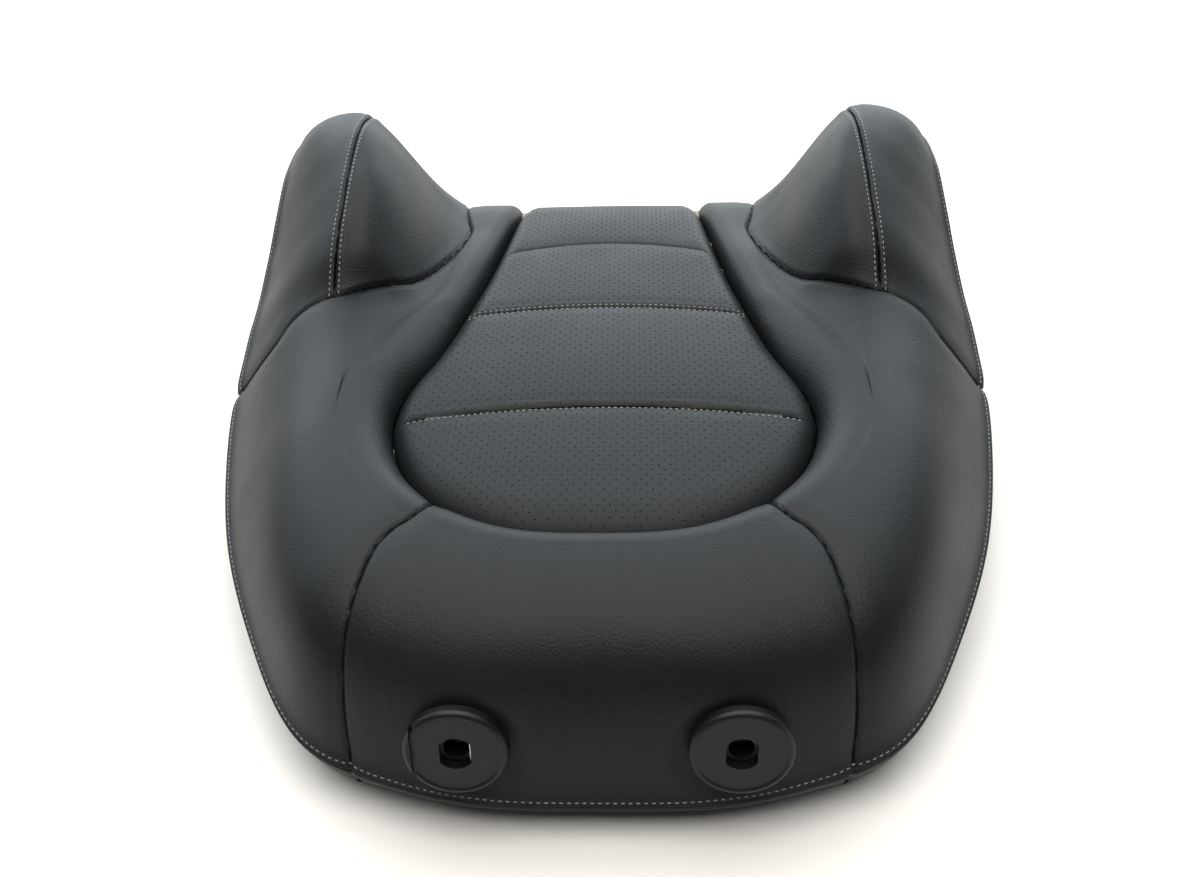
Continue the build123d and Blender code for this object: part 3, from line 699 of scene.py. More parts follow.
def leather(name, settings, dark, light, roughness, grain_mm, grain_depth):
    """Pigmented cowhide, embossed with a fine pebble and sprayed with a satin top coat: broad soft
    highlights that break into small grain where the leather turns away from the light."""
    material, tree, shader, place = new_material(name, Specular_IOR_Level=0.16)
    warp = add(tree, "ShaderNodeTexNoise", {"Vector": place, "Scale": 1000 / (grain_mm * 2.4), "Detail": 1.0})
    shifted = add(tree, "ShaderNodeVectorMath", {0: warp.outputs["Color"], "Scale": grain_mm * 0.0007}, operation="SCALE")
    where = add(tree, "ShaderNodeVectorMath", {0: place, 1: shifted.outputs[0]}, operation="ADD").outputs[0]
    pebbles = cells(tree, where, grain_mm, "SMOOTH_F1", Smoothness=0.35)
    fine = cells(tree, where, grain_mm * 0.42, "F1")
    height = add(tree, "ShaderNodeMath", {0: pebbles.outputs["Distance"], 1: -1.0}, operation="MULTIPLY").outputs[0]
    small = add(tree, "ShaderNodeMath", {0: fine.outputs["Distance"], 1: -1.0}, operation="MULTIPLY").outputs[0]
    colour, slow = varied(tree, place, shader, dark, light, 70)
    ranged(tree, slow, roughness - 0.03, roughness + 0.04, shader, start=0.35, end=0.65)
    bumped(tree, shader, [(height, grain_depth, 0.8), (small, grain_depth * 0.35, 0.6), (noise(tree, place, 14), 0.05, 0.5)])
    return material


def moulded_plastic(name, dark, light, roughness, grain_mm, depth):
    """Injection-moulded polypropylene from a spark-eroded tool: a fine even texture that keeps the
    gloss low, with a brighter line only on edges."""
    material, tree, shader, place = new_material(name, Specular_IOR_Level=0.25)
    colour, slow = varied(tree, place, shader, dark, light, 35)
    ranged(tree, slow, roughness - 0.03, roughness + 0.04, shader, start=0.35, end=0.65)
    grain = cells(tree, place, grain_mm).outputs["Distance"]
    bumped(tree, shader, [(grain, depth, 0.6), (noise(tree, place, 6), 0.03, 0.4)])
    return material


def plated_steel(name, dark, light, roughness, streak_mm):
    """Zinc-plated, rolled steel sheet: grey metal with soft cloudy patches and fine rolling lines."""
    material, tree, shader, place = new_material(name, Metallic=1.0)
    colour, slow = varied(tree, place, shader, dark, light, 22)
    ranged(tree, slow, roughness - 0.06, roughness + 0.08, shader, start=0.3, end=0.7)
    long = add(tree, "ShaderNodeMapping", {"Vector": place, "Scale": (1.0, 0.05, 1.0)}).outputs[0]
    bumped(tree, shader, [(noise(tree, long, streak_mm, 4.0), 0.03, 0.5)])
    return material


def dipped_paint(name, dark, light):
    """Electrophoretic paint on pressed steel: thin satin black with faint orange peel."""
    material, tree, shader, place = new_material(name, Specular_IOR_Level=0.5)
    colour, slow = varied(tree, place, shader, dark, light, 30)
    ranged(tree, slow, 0.34, 0.46, shader, start=0.3, end=0.7)
    bumped(tree, shader, [(noise(tree, place, 2.2, 2.0), 0.04, 0.5)])
    return material


def moulded_foam(name):
    """Cold-cured polyurethane foam: pale grey skin, open pores here and there, no gloss."""
    material, tree, shader, place = new_material(name, Specular_IOR_Level=0.2, Roughness=0.95)
    varied(tree, place, shader, "#6f6c63", "#8a8678", 26)
    pores = cells(tree, place, 2.6)
    bumped(tree, shader, [(pores.outputs["Distance"], 0.5, 0.6), (noise(tree, place, 9, 3.0), 0.6, 0.5)])
    return material


def needled_felt(name, dark, light):
    """Needled polyester felt: matt, with short crossed fibres."""
    material, tree, shader, place = new_material(name, Specular_IOR_Level=0.2, Roughness=0.95, Sheen_Weight=0.2)
    varied(tree, place, shader, dark, light, 5)
    fibre = add(tree, "ShaderNodeMapping", {"Vector": place, "Scale": (1.0, 0.12, 1.0), "Rotation": (0, 0, 0.6)}).outputs[0]
    cross = add(tree, "ShaderNodeMapping", {"Vector": place, "Scale": (0.12, 1.0, 1.0), "Rotation": (0, 0, 0.3)}).outputs[0]
    bumped(tree, shader, [(noise(tree, fibre, 0.7, 3.0), 0.2, 0.7), (noise(tree, cross, 0.7, 3.0), 0.2, 0.7)])
    return material


def woven_bag(name):
    """Coated nylon cloth of the airbag's cover: plain weave, drawn at 1.2 mm so that it shows."""
    material, tree, shader, place = new_material(name, Specular_IOR_Level=0.3, Roughness=0.8)
    varied(tree, place, shader, "#8b8c88", "#a2a39e", 18)
    turned = add(tree, "ShaderNodeMapping", {"Vector": place, "Rotation": (0, 1.5708, 0)}).outputs[0]
    warp = add(tree, "ShaderNodeTexWave", {"Vector": place, "Scale": 1000 / 1.2 / 20, "Distortion": 0.4}, bands_direction="Y")
    weft = add(tree, "ShaderNodeTexWave", {"Vector": turned, "Scale": 1000 / 1.2 / 20, "Distortion": 0.4}, bands_direction="X")
    bumped(tree, shader, [(warp.outputs["Fac"], 0.15, 0.6), (weft.outputs["Fac"], 0.15, 0.6)])
    return material


def twisted_thread(name, dark, light):
    """Bonded polyester thread, grey: three plies that show as a slant across each stitch."""
    material, tree, shader, place = new_material(name, Specular_IOR_Level=0.35, Roughness=0.62, Sheen_Weight=0.2)
    varied(tree, place, shader, dark, light, 9)
    slant = add(tree, "ShaderNodeMapping", {"Vector": place, "Rotation": (0, 0, 0.7)}).outputs[0]
    ply = add(tree, "ShaderNodeTexWave", {"Vector": slant, "Scale": 1000 / 0.9 / 20, "Distortion": 0.3})
    bumped(tree, shader, [(ply.outputs["Fac"], 0.08, 0.7)])
    return material


# ---------------------------------------------------------------- what repeats: node trees


def node_tree(name, inputs):
    """Geometry tree with a geometry input and output and named sizes."""
    tree = bpy.data.node_groups.new(name, "GeometryNodeTree")
    tree.interface.new_socket("Geometry", in_out="INPUT", socket_type="NodeSocketGeometry")
    for label, kind, value in inputs:
        socket = tree.interface.new_socket(label, in_out="INPUT", socket_type=kind)
        if value is not None:
            socket.default_value = value
    tree.interface.new_socket("Geometry", in_out="OUTPUT", socket_type="NodeSocketGeometry")
    return tree, add(tree, "NodeGroupInput").outputs


def tree_end(tree, shape, material):
    smooth = add(tree, "GeometryNodeSetShadeSmooth", {"Geometry": shape}).outputs[0]
    real = add(tree, "GeometryNodeRealizeInstances", {"Geometry": smooth}).outputs[0]
    painted = add(tree, "GeometryNodeSetMaterial", {"Geometry": real, "Material": material}).outputs[0]
    add(tree, "NodeGroupOutput", {0: painted})


def maths(tree, operation, a, b=0.0):
    return add(tree, "ShaderNodeMath", {0: a, 1: b}, operation=operation).outputs[0]


def stitch_tree():
    """Stitches of one length, laid end to end along sewn lines and sunk in the leather."""
    tree, given = node_tree("lockstitch_rows", [
        ("Pitch", "NodeSocketFloat", 0.0042),
        ("Stitch Length", "NodeSocketFloat", 0.0034),
        ("Thread Width", "NodeSocketFloat", 0.0008),
        ("Material", "NodeSocketMaterial", None),
    ])
    line = add(tree, "GeometryNodeMeshToCurve", {"Mesh": given["Geometry"]}).outputs[0]
    even = add(tree, "GeometryNodeResampleCurve", {"Curve": line, "Length": given["Pitch"]}, mode="LENGTH").outputs[0]
    tangent = add(tree, "GeometryNodeInputTangent").outputs[0]
    up = add(tree, "GeometryNodeInputNamedAttribute", {"Name": "up"}, data_type="FLOAT_VECTOR").outputs[0]
    stand = add(tree, "FunctionNodeAlignRotationToVector", {"Vector": up}, axis="Z").outputs[0]
    turn = add(tree, "FunctionNodeAlignRotationToVector", {"Rotation": stand, "Vector": tangent}, axis="X", pivot_axis="Z").outputs[0]
    bead = add(tree, "GeometryNodeMeshUVSphere", {"Segments": 7, "Rings": 5, "Radius": 0.5}).outputs[0]
    size = add(tree, "ShaderNodeCombineXYZ", {0: given["Stitch Length"], 1: given["Thread Width"], 2: given["Thread Width"]}).outputs[0]
    placed = add(tree, "GeometryNodeInstanceOnPoints", {"Points": even, "Instance": bead, "Rotation": turn, "Scale": size}).outputs[0]
    tree_end(tree, placed, given["Material"])
    return tree


def piping_tree():
    """Round piping of one radius along the outer seam."""
    tree, given = node_tree("seam_piping", [
        ("Radius", "NodeSocketFloat", 0.0011),
        ("Material", "NodeSocketMaterial", None),
    ])
    line = add(tree, "GeometryNodeMeshToCurve", {"Mesh": given["Geometry"]}).outputs[0]
    ring = add(tree, "GeometryNodeCurvePrimitiveCircle", {"Resolution": 8, "Radius": given["Radius"]}).outputs[0]
    tube = add(tree, "GeometryNodeCurveToMesh", {"Curve": line, "Profile Curve": ring, "Fill Caps": True}).outputs[0]
    tree_end(tree, tube, given["Material"])
    return tree


def perforation_tree():
    """Punched holes in staggered rows over the insert, away from its edges and sewn lines, each drawn as a thin black
    cup on the leather: painted shade for the dark inside of the hole.
    """
    tree, given = node_tree("punched_holes", [
        ("Pitch", "NodeSocketFloat", 0.0073),
        ("Row Spacing", "NodeSocketFloat", 0.0042),
        ("Hole Radius", "NodeSocketFloat", 0.0005),
        ("Columns", "NodeSocketInt", 40),
        ("Rows", "NodeSocketInt", 116),
        ("Middle", "NodeSocketVector", (0.0, 0.0, 0.0)),
        ("Material", "NodeSocketMaterial", None),
    ])
    wide = maths(tree, "MULTIPLY", maths(tree, "SUBTRACT", given["Columns"], 1.0), given["Pitch"])
    long = maths(tree, "MULTIPLY", maths(tree, "SUBTRACT", given["Rows"], 1.0), given["Row Spacing"])
    grid = add(tree, "GeometryNodeMeshGrid", {"Size X": wide, "Size Y": long, "Vertices X": given["Columns"], "Vertices Y": given["Rows"]}).outputs[0]
    index = add(tree, "GeometryNodeInputIndex").outputs[0]
    row = maths(tree, "FLOORED_MODULO", maths(tree, "FLOORED_MODULO", index, given["Rows"]), 2.0)
    shift = add(tree, "ShaderNodeCombineXYZ", {0: maths(tree, "MULTIPLY", row, maths(tree, "MULTIPLY", given["Pitch"], 0.5))}).outputs[0]
    offset = add(tree, "ShaderNodeVectorMath", {0: shift, 1: given["Middle"]}, operation="ADD").outputs[0]
    spread = add(tree, "GeometryNodeSetPosition", {"Geometry": grid, "Offset": offset}).outputs[0]
    margin = add(tree, "GeometryNodeInputNamedAttribute", {"Name": "margin"}, data_type="FLOAT").outputs[0]
    ray = add(tree, "GeometryNodeRaycast", {"Target Geometry": given["Geometry"], "Attribute": margin, "Ray Direction": (0, 0, -1), "Ray Length": 1.0})
    inside = add(tree, "FunctionNodeCompare", {0: ray.outputs["Attribute"], 1: 0.0}, operation="GREATER_THAN", data_type="FLOAT").outputs[0]
    keep = add(tree, "FunctionNodeBooleanMath", {0: ray.outputs["Is Hit"], 1: inside}, operation="AND").outputs[0]
    drop = add(tree, "FunctionNodeBooleanMath", {0: keep}, operation="NOT").outputs[0]
    held = add(tree, "GeometryNodeStoreNamedAttribute", {"Geometry": spread, "Name": "up", "Value": ray.outputs["Hit Normal"]}, data_type="FLOAT_VECTOR", domain="POINT").outputs[0]
    kept = add(tree, "GeometryNodeDeleteGeometry", {"Geometry": held, "Selection": drop}, domain="POINT").outputs[0]
    laid = add(tree, "GeometryNodeSetPosition", {"Geometry": kept, "Position": ray.outputs["Hit Position"]}).outputs[0]
    up = add(tree, "GeometryNodeInputNamedAttribute", {"Name": "up"}, data_type="FLOAT_VECTOR").outputs[0]
    turn = add(tree, "FunctionNodeAlignRotationToVector", {"Vector": up}, axis="Z").outputs[0]
    rim = maths(tree, "MULTIPLY", given["Hole Radius"], 0.86)
    # painted shade: each cup takes the near-black hole finish in place of the shaded inside of a perforation
    cup = add(tree, "GeometryNodeMeshCone", {"Vertices": 8, "Radius Top": rim, "Radius Bottom": given["Hole Radius"], "Depth": 0.00012}).outputs[0]
    placed = add(tree, "GeometryNodeInstanceOnPoints", {"Points": laid, "Instance": cup, "Rotation": turn}).outputs[0]
    tree_end(tree, placed, given["Material"])
    return tree


def grown(name, source, tree, values):
    """Runs a tree on an object and returns the result as a plain mesh object."""
    mod = source.modifiers.new("rule", "NODES")
    mod.node_group = tree
    sockets = {i.name: i.identifier for i in tree.interface.items_tree if i.in_out == "INPUT"}
    for key, value in values.items():
        mod[sockets[key]] = value
    view = source.evaluated_get(bpy.context.evaluated_depsgraph_get())
    mesh = bpy.data.meshes.new_from_object(view)
    mesh.name = name
    source.modifiers.remove(mod)
    bpy.data.objects.remove(source)
    obj = bpy.data.objects.new(name, mesh)
    bpy.context.scene.collection.objects.link(obj)
    return obj


def sewn_lines(name, lines):
    """Mesh of lines of (points mm, upward normals) for a tree to follow."""
    points, ups, edges = [], [], []
    for places, normals in lines:
        start = len(points)
        points += list(places)
        ups += list(normals)
        edges += [(start + i, start + i + 1) for i in range(len(places) - 1)]
    pts = np.array(points, float)
    pts[:, 1] += FRONT
    mesh = bpy.data.meshes.new(name)
    mesh.from_pydata((pts * MM).tolist(), edges, [])
    layer = mesh.attributes.new("up", "FLOAT_VECTOR", "POINT")
    layer.data.foreach_set("vector", np.array(ups, np.float32).ravel())
    obj = bpy.data.objects.new(name, mesh)
    bpy.context.scene.collection.objects.link(obj)
    return obj


# ---------------------------------------------------------------- settings a user may change


class BackrestTrim(bpy.types.PropertyGroup):
    leather_dark: bpy.props.StringProperty(name="Leather dark", description="sRGB hex of the leather's darker patches", default="#101214")
    leather_light: bpy.props.StringProperty(name="Leather light", description="sRGB hex of the leather's lighter patches", default="#15181a")
    thread_colour: bpy.props.StringProperty(name="Thread", description="sRGB hex of the sewing thread", default="#828482")
    leather_thickness: bpy.props.FloatProperty(name="Leather thickness", description="Leather with its laminated backing", default=0.0014, unit="LENGTH")
    stitch_pitch: bpy.props.FloatProperty(name="Stitch pitch", description="From one stitch to the next", default=0.0042, unit="LENGTH")
    thread_width: bpy.props.FloatProperty(name="Thread width", description="Width of a stitch", default=0.0009, unit="LENGTH")
    hole_pitch: bpy.props.FloatProperty(name="Hole pitch", description="Perforations along a row", default=0.0073, unit="LENGTH")
    hole_rows: bpy.props.FloatProperty(name="Hole rows", description="From one row of perforations to the next", default=0.0043, unit="LENGTH")
    hole_radius: bpy.props.FloatProperty(name="Hole radius", description="Radius of a perforation", default=0.0006, unit="LENGTH")
    piping_radius: bpy.props.FloatProperty(name="Piping radius", description="Radius of the outer seam's piping", default=0.0011, unit="LENGTH")
    foam_pressure: bpy.props.FloatProperty(name="Foam pressure", description="Pressure under the leather in the cloth simulation", default=4.0)
    leather_stiffness: bpy.props.FloatProperty(name="Leather stiffness", description="Stretch stiffness in the cloth simulation", default=18.0)
    puff_limit: bpy.props.FloatProperty(name="Puff limit", description="Most that the pressure may lift the leather", default=0.0022, unit="LENGTH")


class BackrestStudio(bpy.types.PropertyGroup):
    key_power: bpy.props.FloatProperty(name="Overhead light", description="Power of the overhead softbox", default=132.0, subtype="POWER")
    back_power: bpy.props.FloatProperty(name="Back light", description="Power of the high softbox beyond the lumbar end", default=172.0, subtype="POWER")
    side_power: bpy.props.FloatProperty(name="Side lights", description="Power of each softbox at the sides", default=26.0, subtype="POWER")
    sky_strength: bpy.props.FloatProperty(name="Room light", description="Strength of the even light from all round", default=0.1)
    floor_colour: bpy.props.StringProperty(name="Floor", description="sRGB hex of the floor", default="#d6d4d0")


SLOTS = {}
FINISH = {}
SURFACE = {}


def make_finishes(trim):
    dark, light = trim.leather_dark, trim.leather_light
    FINISH.update(
        cover=leather("pebbled_cowhide_black", trim, dark, light, 0.47, 1.5, 0.2),
        insert=leather("perforated_cowhide_black", trim, dark, light, 0.47, 1.3, 0.16),
        band=leather("coated_split_leather_black", trim, "#121314", "#17191a", 0.42, 1.1, 0.10),
        # painted shade: near-black cups on the insert stand for the dark inside of each perforation
        hole=moulded_plastic("painted_perforation_shade", "#040404", "#070707", 0.9, 0.4, 0.02),
        thread=twisted_thread("bonded_polyester_thread_grey", "#6e706e", trim.thread_colour),
        black_plastic=moulded_plastic("spark_eroded_polypropylene_black", "#0d0e0f", "#111213", 0.42, 0.8, 0.03),
        panel_plastic=moulded_plastic("grained_polypropylene_charcoal", "#1b1c1e", "#212325", 0.55, 1.4, 0.10),
        spring_steel=plated_steel("drawn_spring_steel", "#a9acad", "#c4c6c6", 0.28, 1.5),
        zinc_steel=plated_steel("zinc_plated_steel", "#8d9092", "#adb0b1", 0.38, 1.2),
        frame_paint=dipped_paint("dip_painted_steel_black", "#0c0d0e", "#131415"),
        foam=moulded_foam("cold_cured_foam"),
        felt=needled_felt("needled_felt_charcoal", "#27282a", "#3a3b3d"),
        motor_black=moulded_plastic("glass_filled_nylon_black", "#0f1011", "#15171a", 0.5, 0.9, 0.05),
        airbag_cloth=woven_bag("coated_nylon_weave_grey"),
    )


NODE_FINISH = {
    "black_plastic": ("headrest_guide_locking", "headrest_guide_plain", "release_button", "back_panel_clips"),
    "spring_steel": ("lock_wire", "suspension_mat", "mat_hooks", "listing_wires", "hog_rings", "recliner_shaft", "airbag_nuts"),
    "zinc_steel": ("recliner_fixed_disc_left", "recliner_fixed_disc_right", "recliner_moving_disc_left",
                   "recliner_moving_disc_right", "recliner_ring_left", "recliner_ring_right",
                   "headrest_carrier_left", "headrest_carrier_right"),
    "frame_paint": ("side_member_left", "side_member_right", "upper_cross_tube", "lower_cross_member",
                    "recliner_bracket_left", "recliner_bracket_right"),
    "panel_plastic": ("back_panel",),
    "felt": ("heater_mat",),
    "motor_black": ("recliner_gearmotor",),
    "airbag_cloth": ("side_airbag_module",),
}


def give(obj, finish):
    obj.data.materials.clear()
    obj.data.materials.append(FINISH[finish])


def join_frame(obj, finish, slot, *nodes, fill=None):
    """Finish, body and the CAD nodes that a piece stands for; the slot is not used."""
    if not obj.data.materials:
        give(obj, finish)
    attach(obj, "backrest")
    if nodes:
        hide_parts(*nodes)


def stitched(trim, name, lines, pitch=None):
    source = sewn_lines(name + "_path", lines)
    obj = grown(name, source, stitch_tree(), {
        "Pitch": pitch or trim.stitch_pitch,
        "Stitch Length": (pitch or trim.stitch_pitch) * 0.6,
        "Thread Width": trim.thread_width,
        "Material": FINISH["thread"],
    })
    join_frame(obj, "thread", "cover_leather")
    return obj


# ---------------------------------------------------------------- the pieces


def sew(name, leather_piece, skin, trim, finish, slot, nodes, flip=False, attributes=None):
    """Makes one panel of a cut surface into a padded leather piece."""
    tris = leather_piece.tris[:, ::-1] if flip else leather_piece.tris
    points, tris, kept = merged(skin, tris)
    extra = {k: v[kept] for k, v in (attributes or {}).items()}
    obj = mesh_object(name, points, tris, extra)
    thicken(obj, trim.leather_thickness)
    join_frame(obj, finish, slot, *nodes, fill=0.85)
    return obj


def pad_row(u_of, vs, puff, side=None):
    """Points and normals on the finished pad along positions (u, v)."""
    u = u_of if isinstance(u_of, np.ndarray) else np.full_like(vs, u_of)
    def at(a, b):
        return pad_skin(np.column_stack([a, b, *pad_fields(a, b)]), puff)
    p = at(u, vs)
    n = np.cross(at(u + 0.004, vs) - at(u - 0.004, vs), at(u, vs + 0.008) - at(u, vs - 0.008))
    return p, n / np.maximum(np.linalg.norm(n, axis=1, keepdims=True), 1e-9)


def level_u(column, level, vs, low, high):
    """For each rib position, the u where a field of the pad crosses a level."""
    us = np.linspace(low, high, 160)
    u, v = np.meshgrid(us, vs, indexing="ij")
    f = pad_fields(u.ravel(), v.ravel())[column - 2].reshape(u.shape)
    out = np.empty(len(vs))
    for k in range(len(vs)):
        order = np.argsort(f[:, k])
        out[k] = np.interp(level, f[order, k], us[order])
    return out


class BACKREST_OT_covers(bpy.types.Operator):
    """Cut and sew the leather covers round the insert"""

    bl_idname = "backrest.covers"
    bl_label = "Covers"

    def execute(self, context):
        trim = context.scene.backrest_trim
        puff = SURFACE["pad_puff"] = collar_puff(trim)
        us = np.concatenate([np.linspace(0, 1, 13)[:-1], np.linspace(1, 2, 46)[:-1], np.linspace(2, 3, 52)])
        cover = leather_grid(us, columns(600), pad_fields)
        steps = (-7, -4.4, -3.4, -2.4, -1.2, 0, 1.2, 2.4, 3.4, 4.4, 7)
        cover = cover.scored(HEM, [s for s in steps if s < 0])
        cover, _ = cover.cut(NOTCH, snap=0.3)
        cover, _ = cover.cut(HOLE, snap=0.3)
        cover = cover.scored(TOP, steps)
        shoulders, top = cover.cut(TOP)
        shoulders = shoulders.scored(ROOT, steps)
        wings, shoulders = shoulders.cut(ROOT)
        wings = wings.scored(WING, steps)
        outer, inner = wings.cut(WING)
        for name, piece in (("shoulder_cover", shoulders), ("wing_inner_cover", inner), ("wing_outer_cover", outer)):
            skin = pad_skin(piece.points, puff)
            left = piece.points[piece.tris][:, :, V].mean(1) < 0
            for side, mask in (("left", left), ("right", ~left)):
                part = Leather(piece.points, piece.tris[mask])
                node = f"{name}_{side}"
                sew(node + "_sewn", part, skin, trim, "cover", "cover_leather", [node])
        sew("top_cover_sewn", top, pad_skin(top.points, puff), trim, "cover", "cover_leather", ["top_cover"])
        return {"FINISHED"}


class BACKREST_OT_bands(bpy.types.Operator):
    """Make the smooth band below the outer seam, in an end piece and two side pieces"""

    bl_idname = "backrest.bands"
    bl_label = "Bands"

    def execute(self, context):
        trim = context.scene.backrest_trim
        puff = SURFACE["pad_puff"]
        def fields(u, v):
            p = collar(u, v)
            split = np.where(p[:, 1] < 150, np.abs(p[:, 0]) - BAND_SPLIT, 99.0)
            return (*pad_fields(u, v), split)
        band = leather_grid(np.linspace(3, 4, 30), columns(600), fields)
        band = band.scored(HEM, (1.2, 2.4, 3.4, 4.4, 7))
        band, _ = band.cut(NOTCH, snap=0.3)
        band = band.scored(8, (-4, -2, -1, 1, 2, 4))
        sides, end = band.cut(8)
        skin = pad_skin(sides.points, puff)
        left = sides.points[sides.tris][:, :, V].mean(1) < 0
        for side, mask in (("left", left), ("right", ~left)):
            part = Leather(sides.points, sides.tris[mask])
            sew(f"side_band_{side}_sewn", part, skin, trim, "band", "band_leather", [f"side_band_{side}"])
        sew("end_band_sewn", end, pad_skin(end.points, puff), trim, "band", "band_leather", ["end_band"])
        return {"FINISHED"}


class BACKREST_OT_insert(bpy.types.Operator):
    """Make the four fields of the perforated insert and punch their holes"""

    bl_idname = "backrest.insert"
    bl_label = "Insert"

    def execute(self, context):
        trim = context.scene.backrest_trim
        puff = SURFACE["insert_puff"] = insert_puff(trim)
        whole = leather_grid(np.linspace(0, 1, 58), insert_ribs(420), insert_columns)
        steps = (-7, -4, -2.2, -1.1, 0, 1.1, 2.2, 4, 7)
        for column in (SEAM_A, SEAM_B, SEAM_C):
            whole = whole.scored(column, steps)
        fields = []
        for column in (SEAM_C, SEAM_B, SEAM_A):
            beyond, whole = whole.cut(column)
            fields.append(beyond)
        fields.append(whole)
        names = ("insert_panel_bottom", "insert_panel_lower", "insert_panel_upper", "insert_panel_top")
        holed = []
        for name, piece in zip(names, fields):
            pts = piece.points
            seams = np.abs(pts[:, [SEAM_A, SEAM_B, SEAM_C]]).min(1)
            margin = np.minimum(pts[:, IN_EDGE] - 9.0, seams - 3.0)
            obj = sew(name + "_sewn", piece, insert_skin(pts, puff), trim, "insert", "perforated_leather", [name],
                      flip=True, attributes={"margin": margin})
            holed.append(obj)
        self.punch(trim, holed)
        return {"FINISHED"}

    def punch(self, trim, holed):
        """One mesh of all the fields for the tree to drop its holes on."""
        points, faces, margin = [], [], []
        for obj in holed:
            mesh = obj.data
            start = sum(map(len, points))
            co = np.zeros(len(mesh.vertices) * 3)
            mesh.vertices.foreach_get("co", co)
            points.append(co.reshape(-1, 3))
            corners = np.zeros(len(mesh.polygons) * 3, int)
            mesh.polygons.foreach_get("vertices", corners)
            faces.append(corners.reshape(-1, 3) + start)
            values = np.zeros(len(mesh.vertices), np.float32)
            mesh.attributes["margin"].data.foreach_get("value", values)
            margin.append(values)
            mesh.attributes.remove(mesh.attributes["margin"])
        target = bpy.data.meshes.new("punch_target")
        target.from_pydata(np.vstack(points).tolist(), [], np.vstack(faces).tolist())
        target.attributes.new("margin", "FLOAT", "POINT").data.foreach_set("value", np.concatenate(margin))
        source = bpy.data.objects.new("punch_target", target)
        bpy.context.scene.collection.objects.link(source)
        rows = int(0.49 / trim.hole_rows)
        middle = (-trim.hole_pitch / 4, (FRONT + 348) * MM, 0.5)
        holes = grown("insert_perforations", source, perforation_tree(), {
            "Pitch": trim.hole_pitch, "Row Spacing": trim.hole_rows, "Hole Radius": trim.hole_radius,
            "Columns": int(0.29 / trim.hole_pitch), "Rows": rows, "Middle": middle, "Material": FINISH["hole"],
        })
        join_frame(holes, "hole", "perforated_leather")


def insert_ribs(count):
    """Rib positions evenly spaced along the insert's outline."""
    v = np.linspace(-LAST_RIB, LAST_RIB, 1201)
    x, s = rib_values(v)[:2]
    run = np.concatenate([[0], np.cumsum(np.hypot(np.diff(x), np.diff(s)))])
    return np.interp(np.linspace(0, run[-1], count), run, v)


class BACKREST_OT_stitching(bpy.types.Operator):
    """Lay the topstitching and the outer seam's piping"""

    bl_idname = "backrest.stitching"
    bl_label = "Stitching"

    def execute(self, context):
        trim = context.scene.backrest_trim
        puff = SURFACE["pad_puff"]
        row = 3.4
        vs = columns(900)[6:-6]
        hems = [self.hem(-row, vs, puff)]
        beside = np.abs(vs) > 8.2
        for side in (-1, 1):
            part = vs[beside & (np.sign(vs) == side)]
            hems.append(self.hem(row, part, puff, 3.0, 3.6))
        stitched(trim, "outer_seam_topstitch", [self.kept(h) for h in hems])
        rows = []
        for side in (-1, 1):
            v = side * np.linspace(7.4, 16.2, 200)
            for level in (-row, row):
                u = level_u(WING, level, v, 1.02, 2.98)
                root = np.array(pad_fields(u, v)[ROOT - 2])
                good = (root > 1.5) & (u > 1.05) & (u < 2.95)
                rows.append(pad_row(u[good], v[good], puff))
        stitched(trim, "wing_seam_twin_topstitch", rows)
        lines = []
        for (at, bow, half), levels in zip(INSERT_SEAMS[:2], ((-2.0,), (-2.0, 2.0))):
            for level in levels:
                lines.append(self.across(at + level, bow, half))
        stitched(trim, "insert_seam_topstitch", lines, pitch=0.0039)
        path, ups = pad_row(3.0, columns(900), puff)
        source = sewn_lines("piping_path", [(path + ups * 0.3, ups)])
        piping = grown("outer_seam_piping", source, piping_tree(), {"Radius": trim.piping_radius, "Material": FINISH["band"]})
        join_frame(piping, "band", "band_leather")
        return {"FINISHED"}

    def hem(self, level, vs, puff, low=2.7, high=3.0):
        """Row beside the outer seam, at a distance from it along the leather."""
        u = level_u(HEM, level, vs, low, high)
        return pad_row(u, vs, puff)

    def kept(self, line):
        """A line without the part that the recliner cut-out takes."""
        p, n = line
        good = (np.abs(p[:, 0]) < NOTCH_X) | (p[:, 1] < NOTCH_STATION + 2) | (p[:, 2] > NOTCH_TOP)
        return p[good], n[good]

    def across(self, station, bow, half):
        """Row over the insert, dropped on its leather."""
        x = np.linspace(-half + 6, half - 6, 240)
        s = station - bow * (x / half) ** 2
        trees = [BVHTree.FromObject(bpy.data.objects[n], bpy.context.evaluated_depsgraph_get())
                 for n in ("insert_panel_top_sewn", "insert_panel_upper_sewn", "insert_panel_lower_sewn")]
        places, ups = [], []
        for a, b in zip(x, s):
            hits = [t.ray_cast(Vector((a * MM, (b + FRONT) * MM, 0.4)), Vector((0, 0, -1))) for t in trees]
            hits = [h for h in hits if h[0] is not None]
            if hits:
                best = max(hits, key=lambda h: h[0].z)
                places.append((a, b, best[0].z / MM))
                ups.append(tuple(best[1]))
        return np.array(places), np.array(ups)


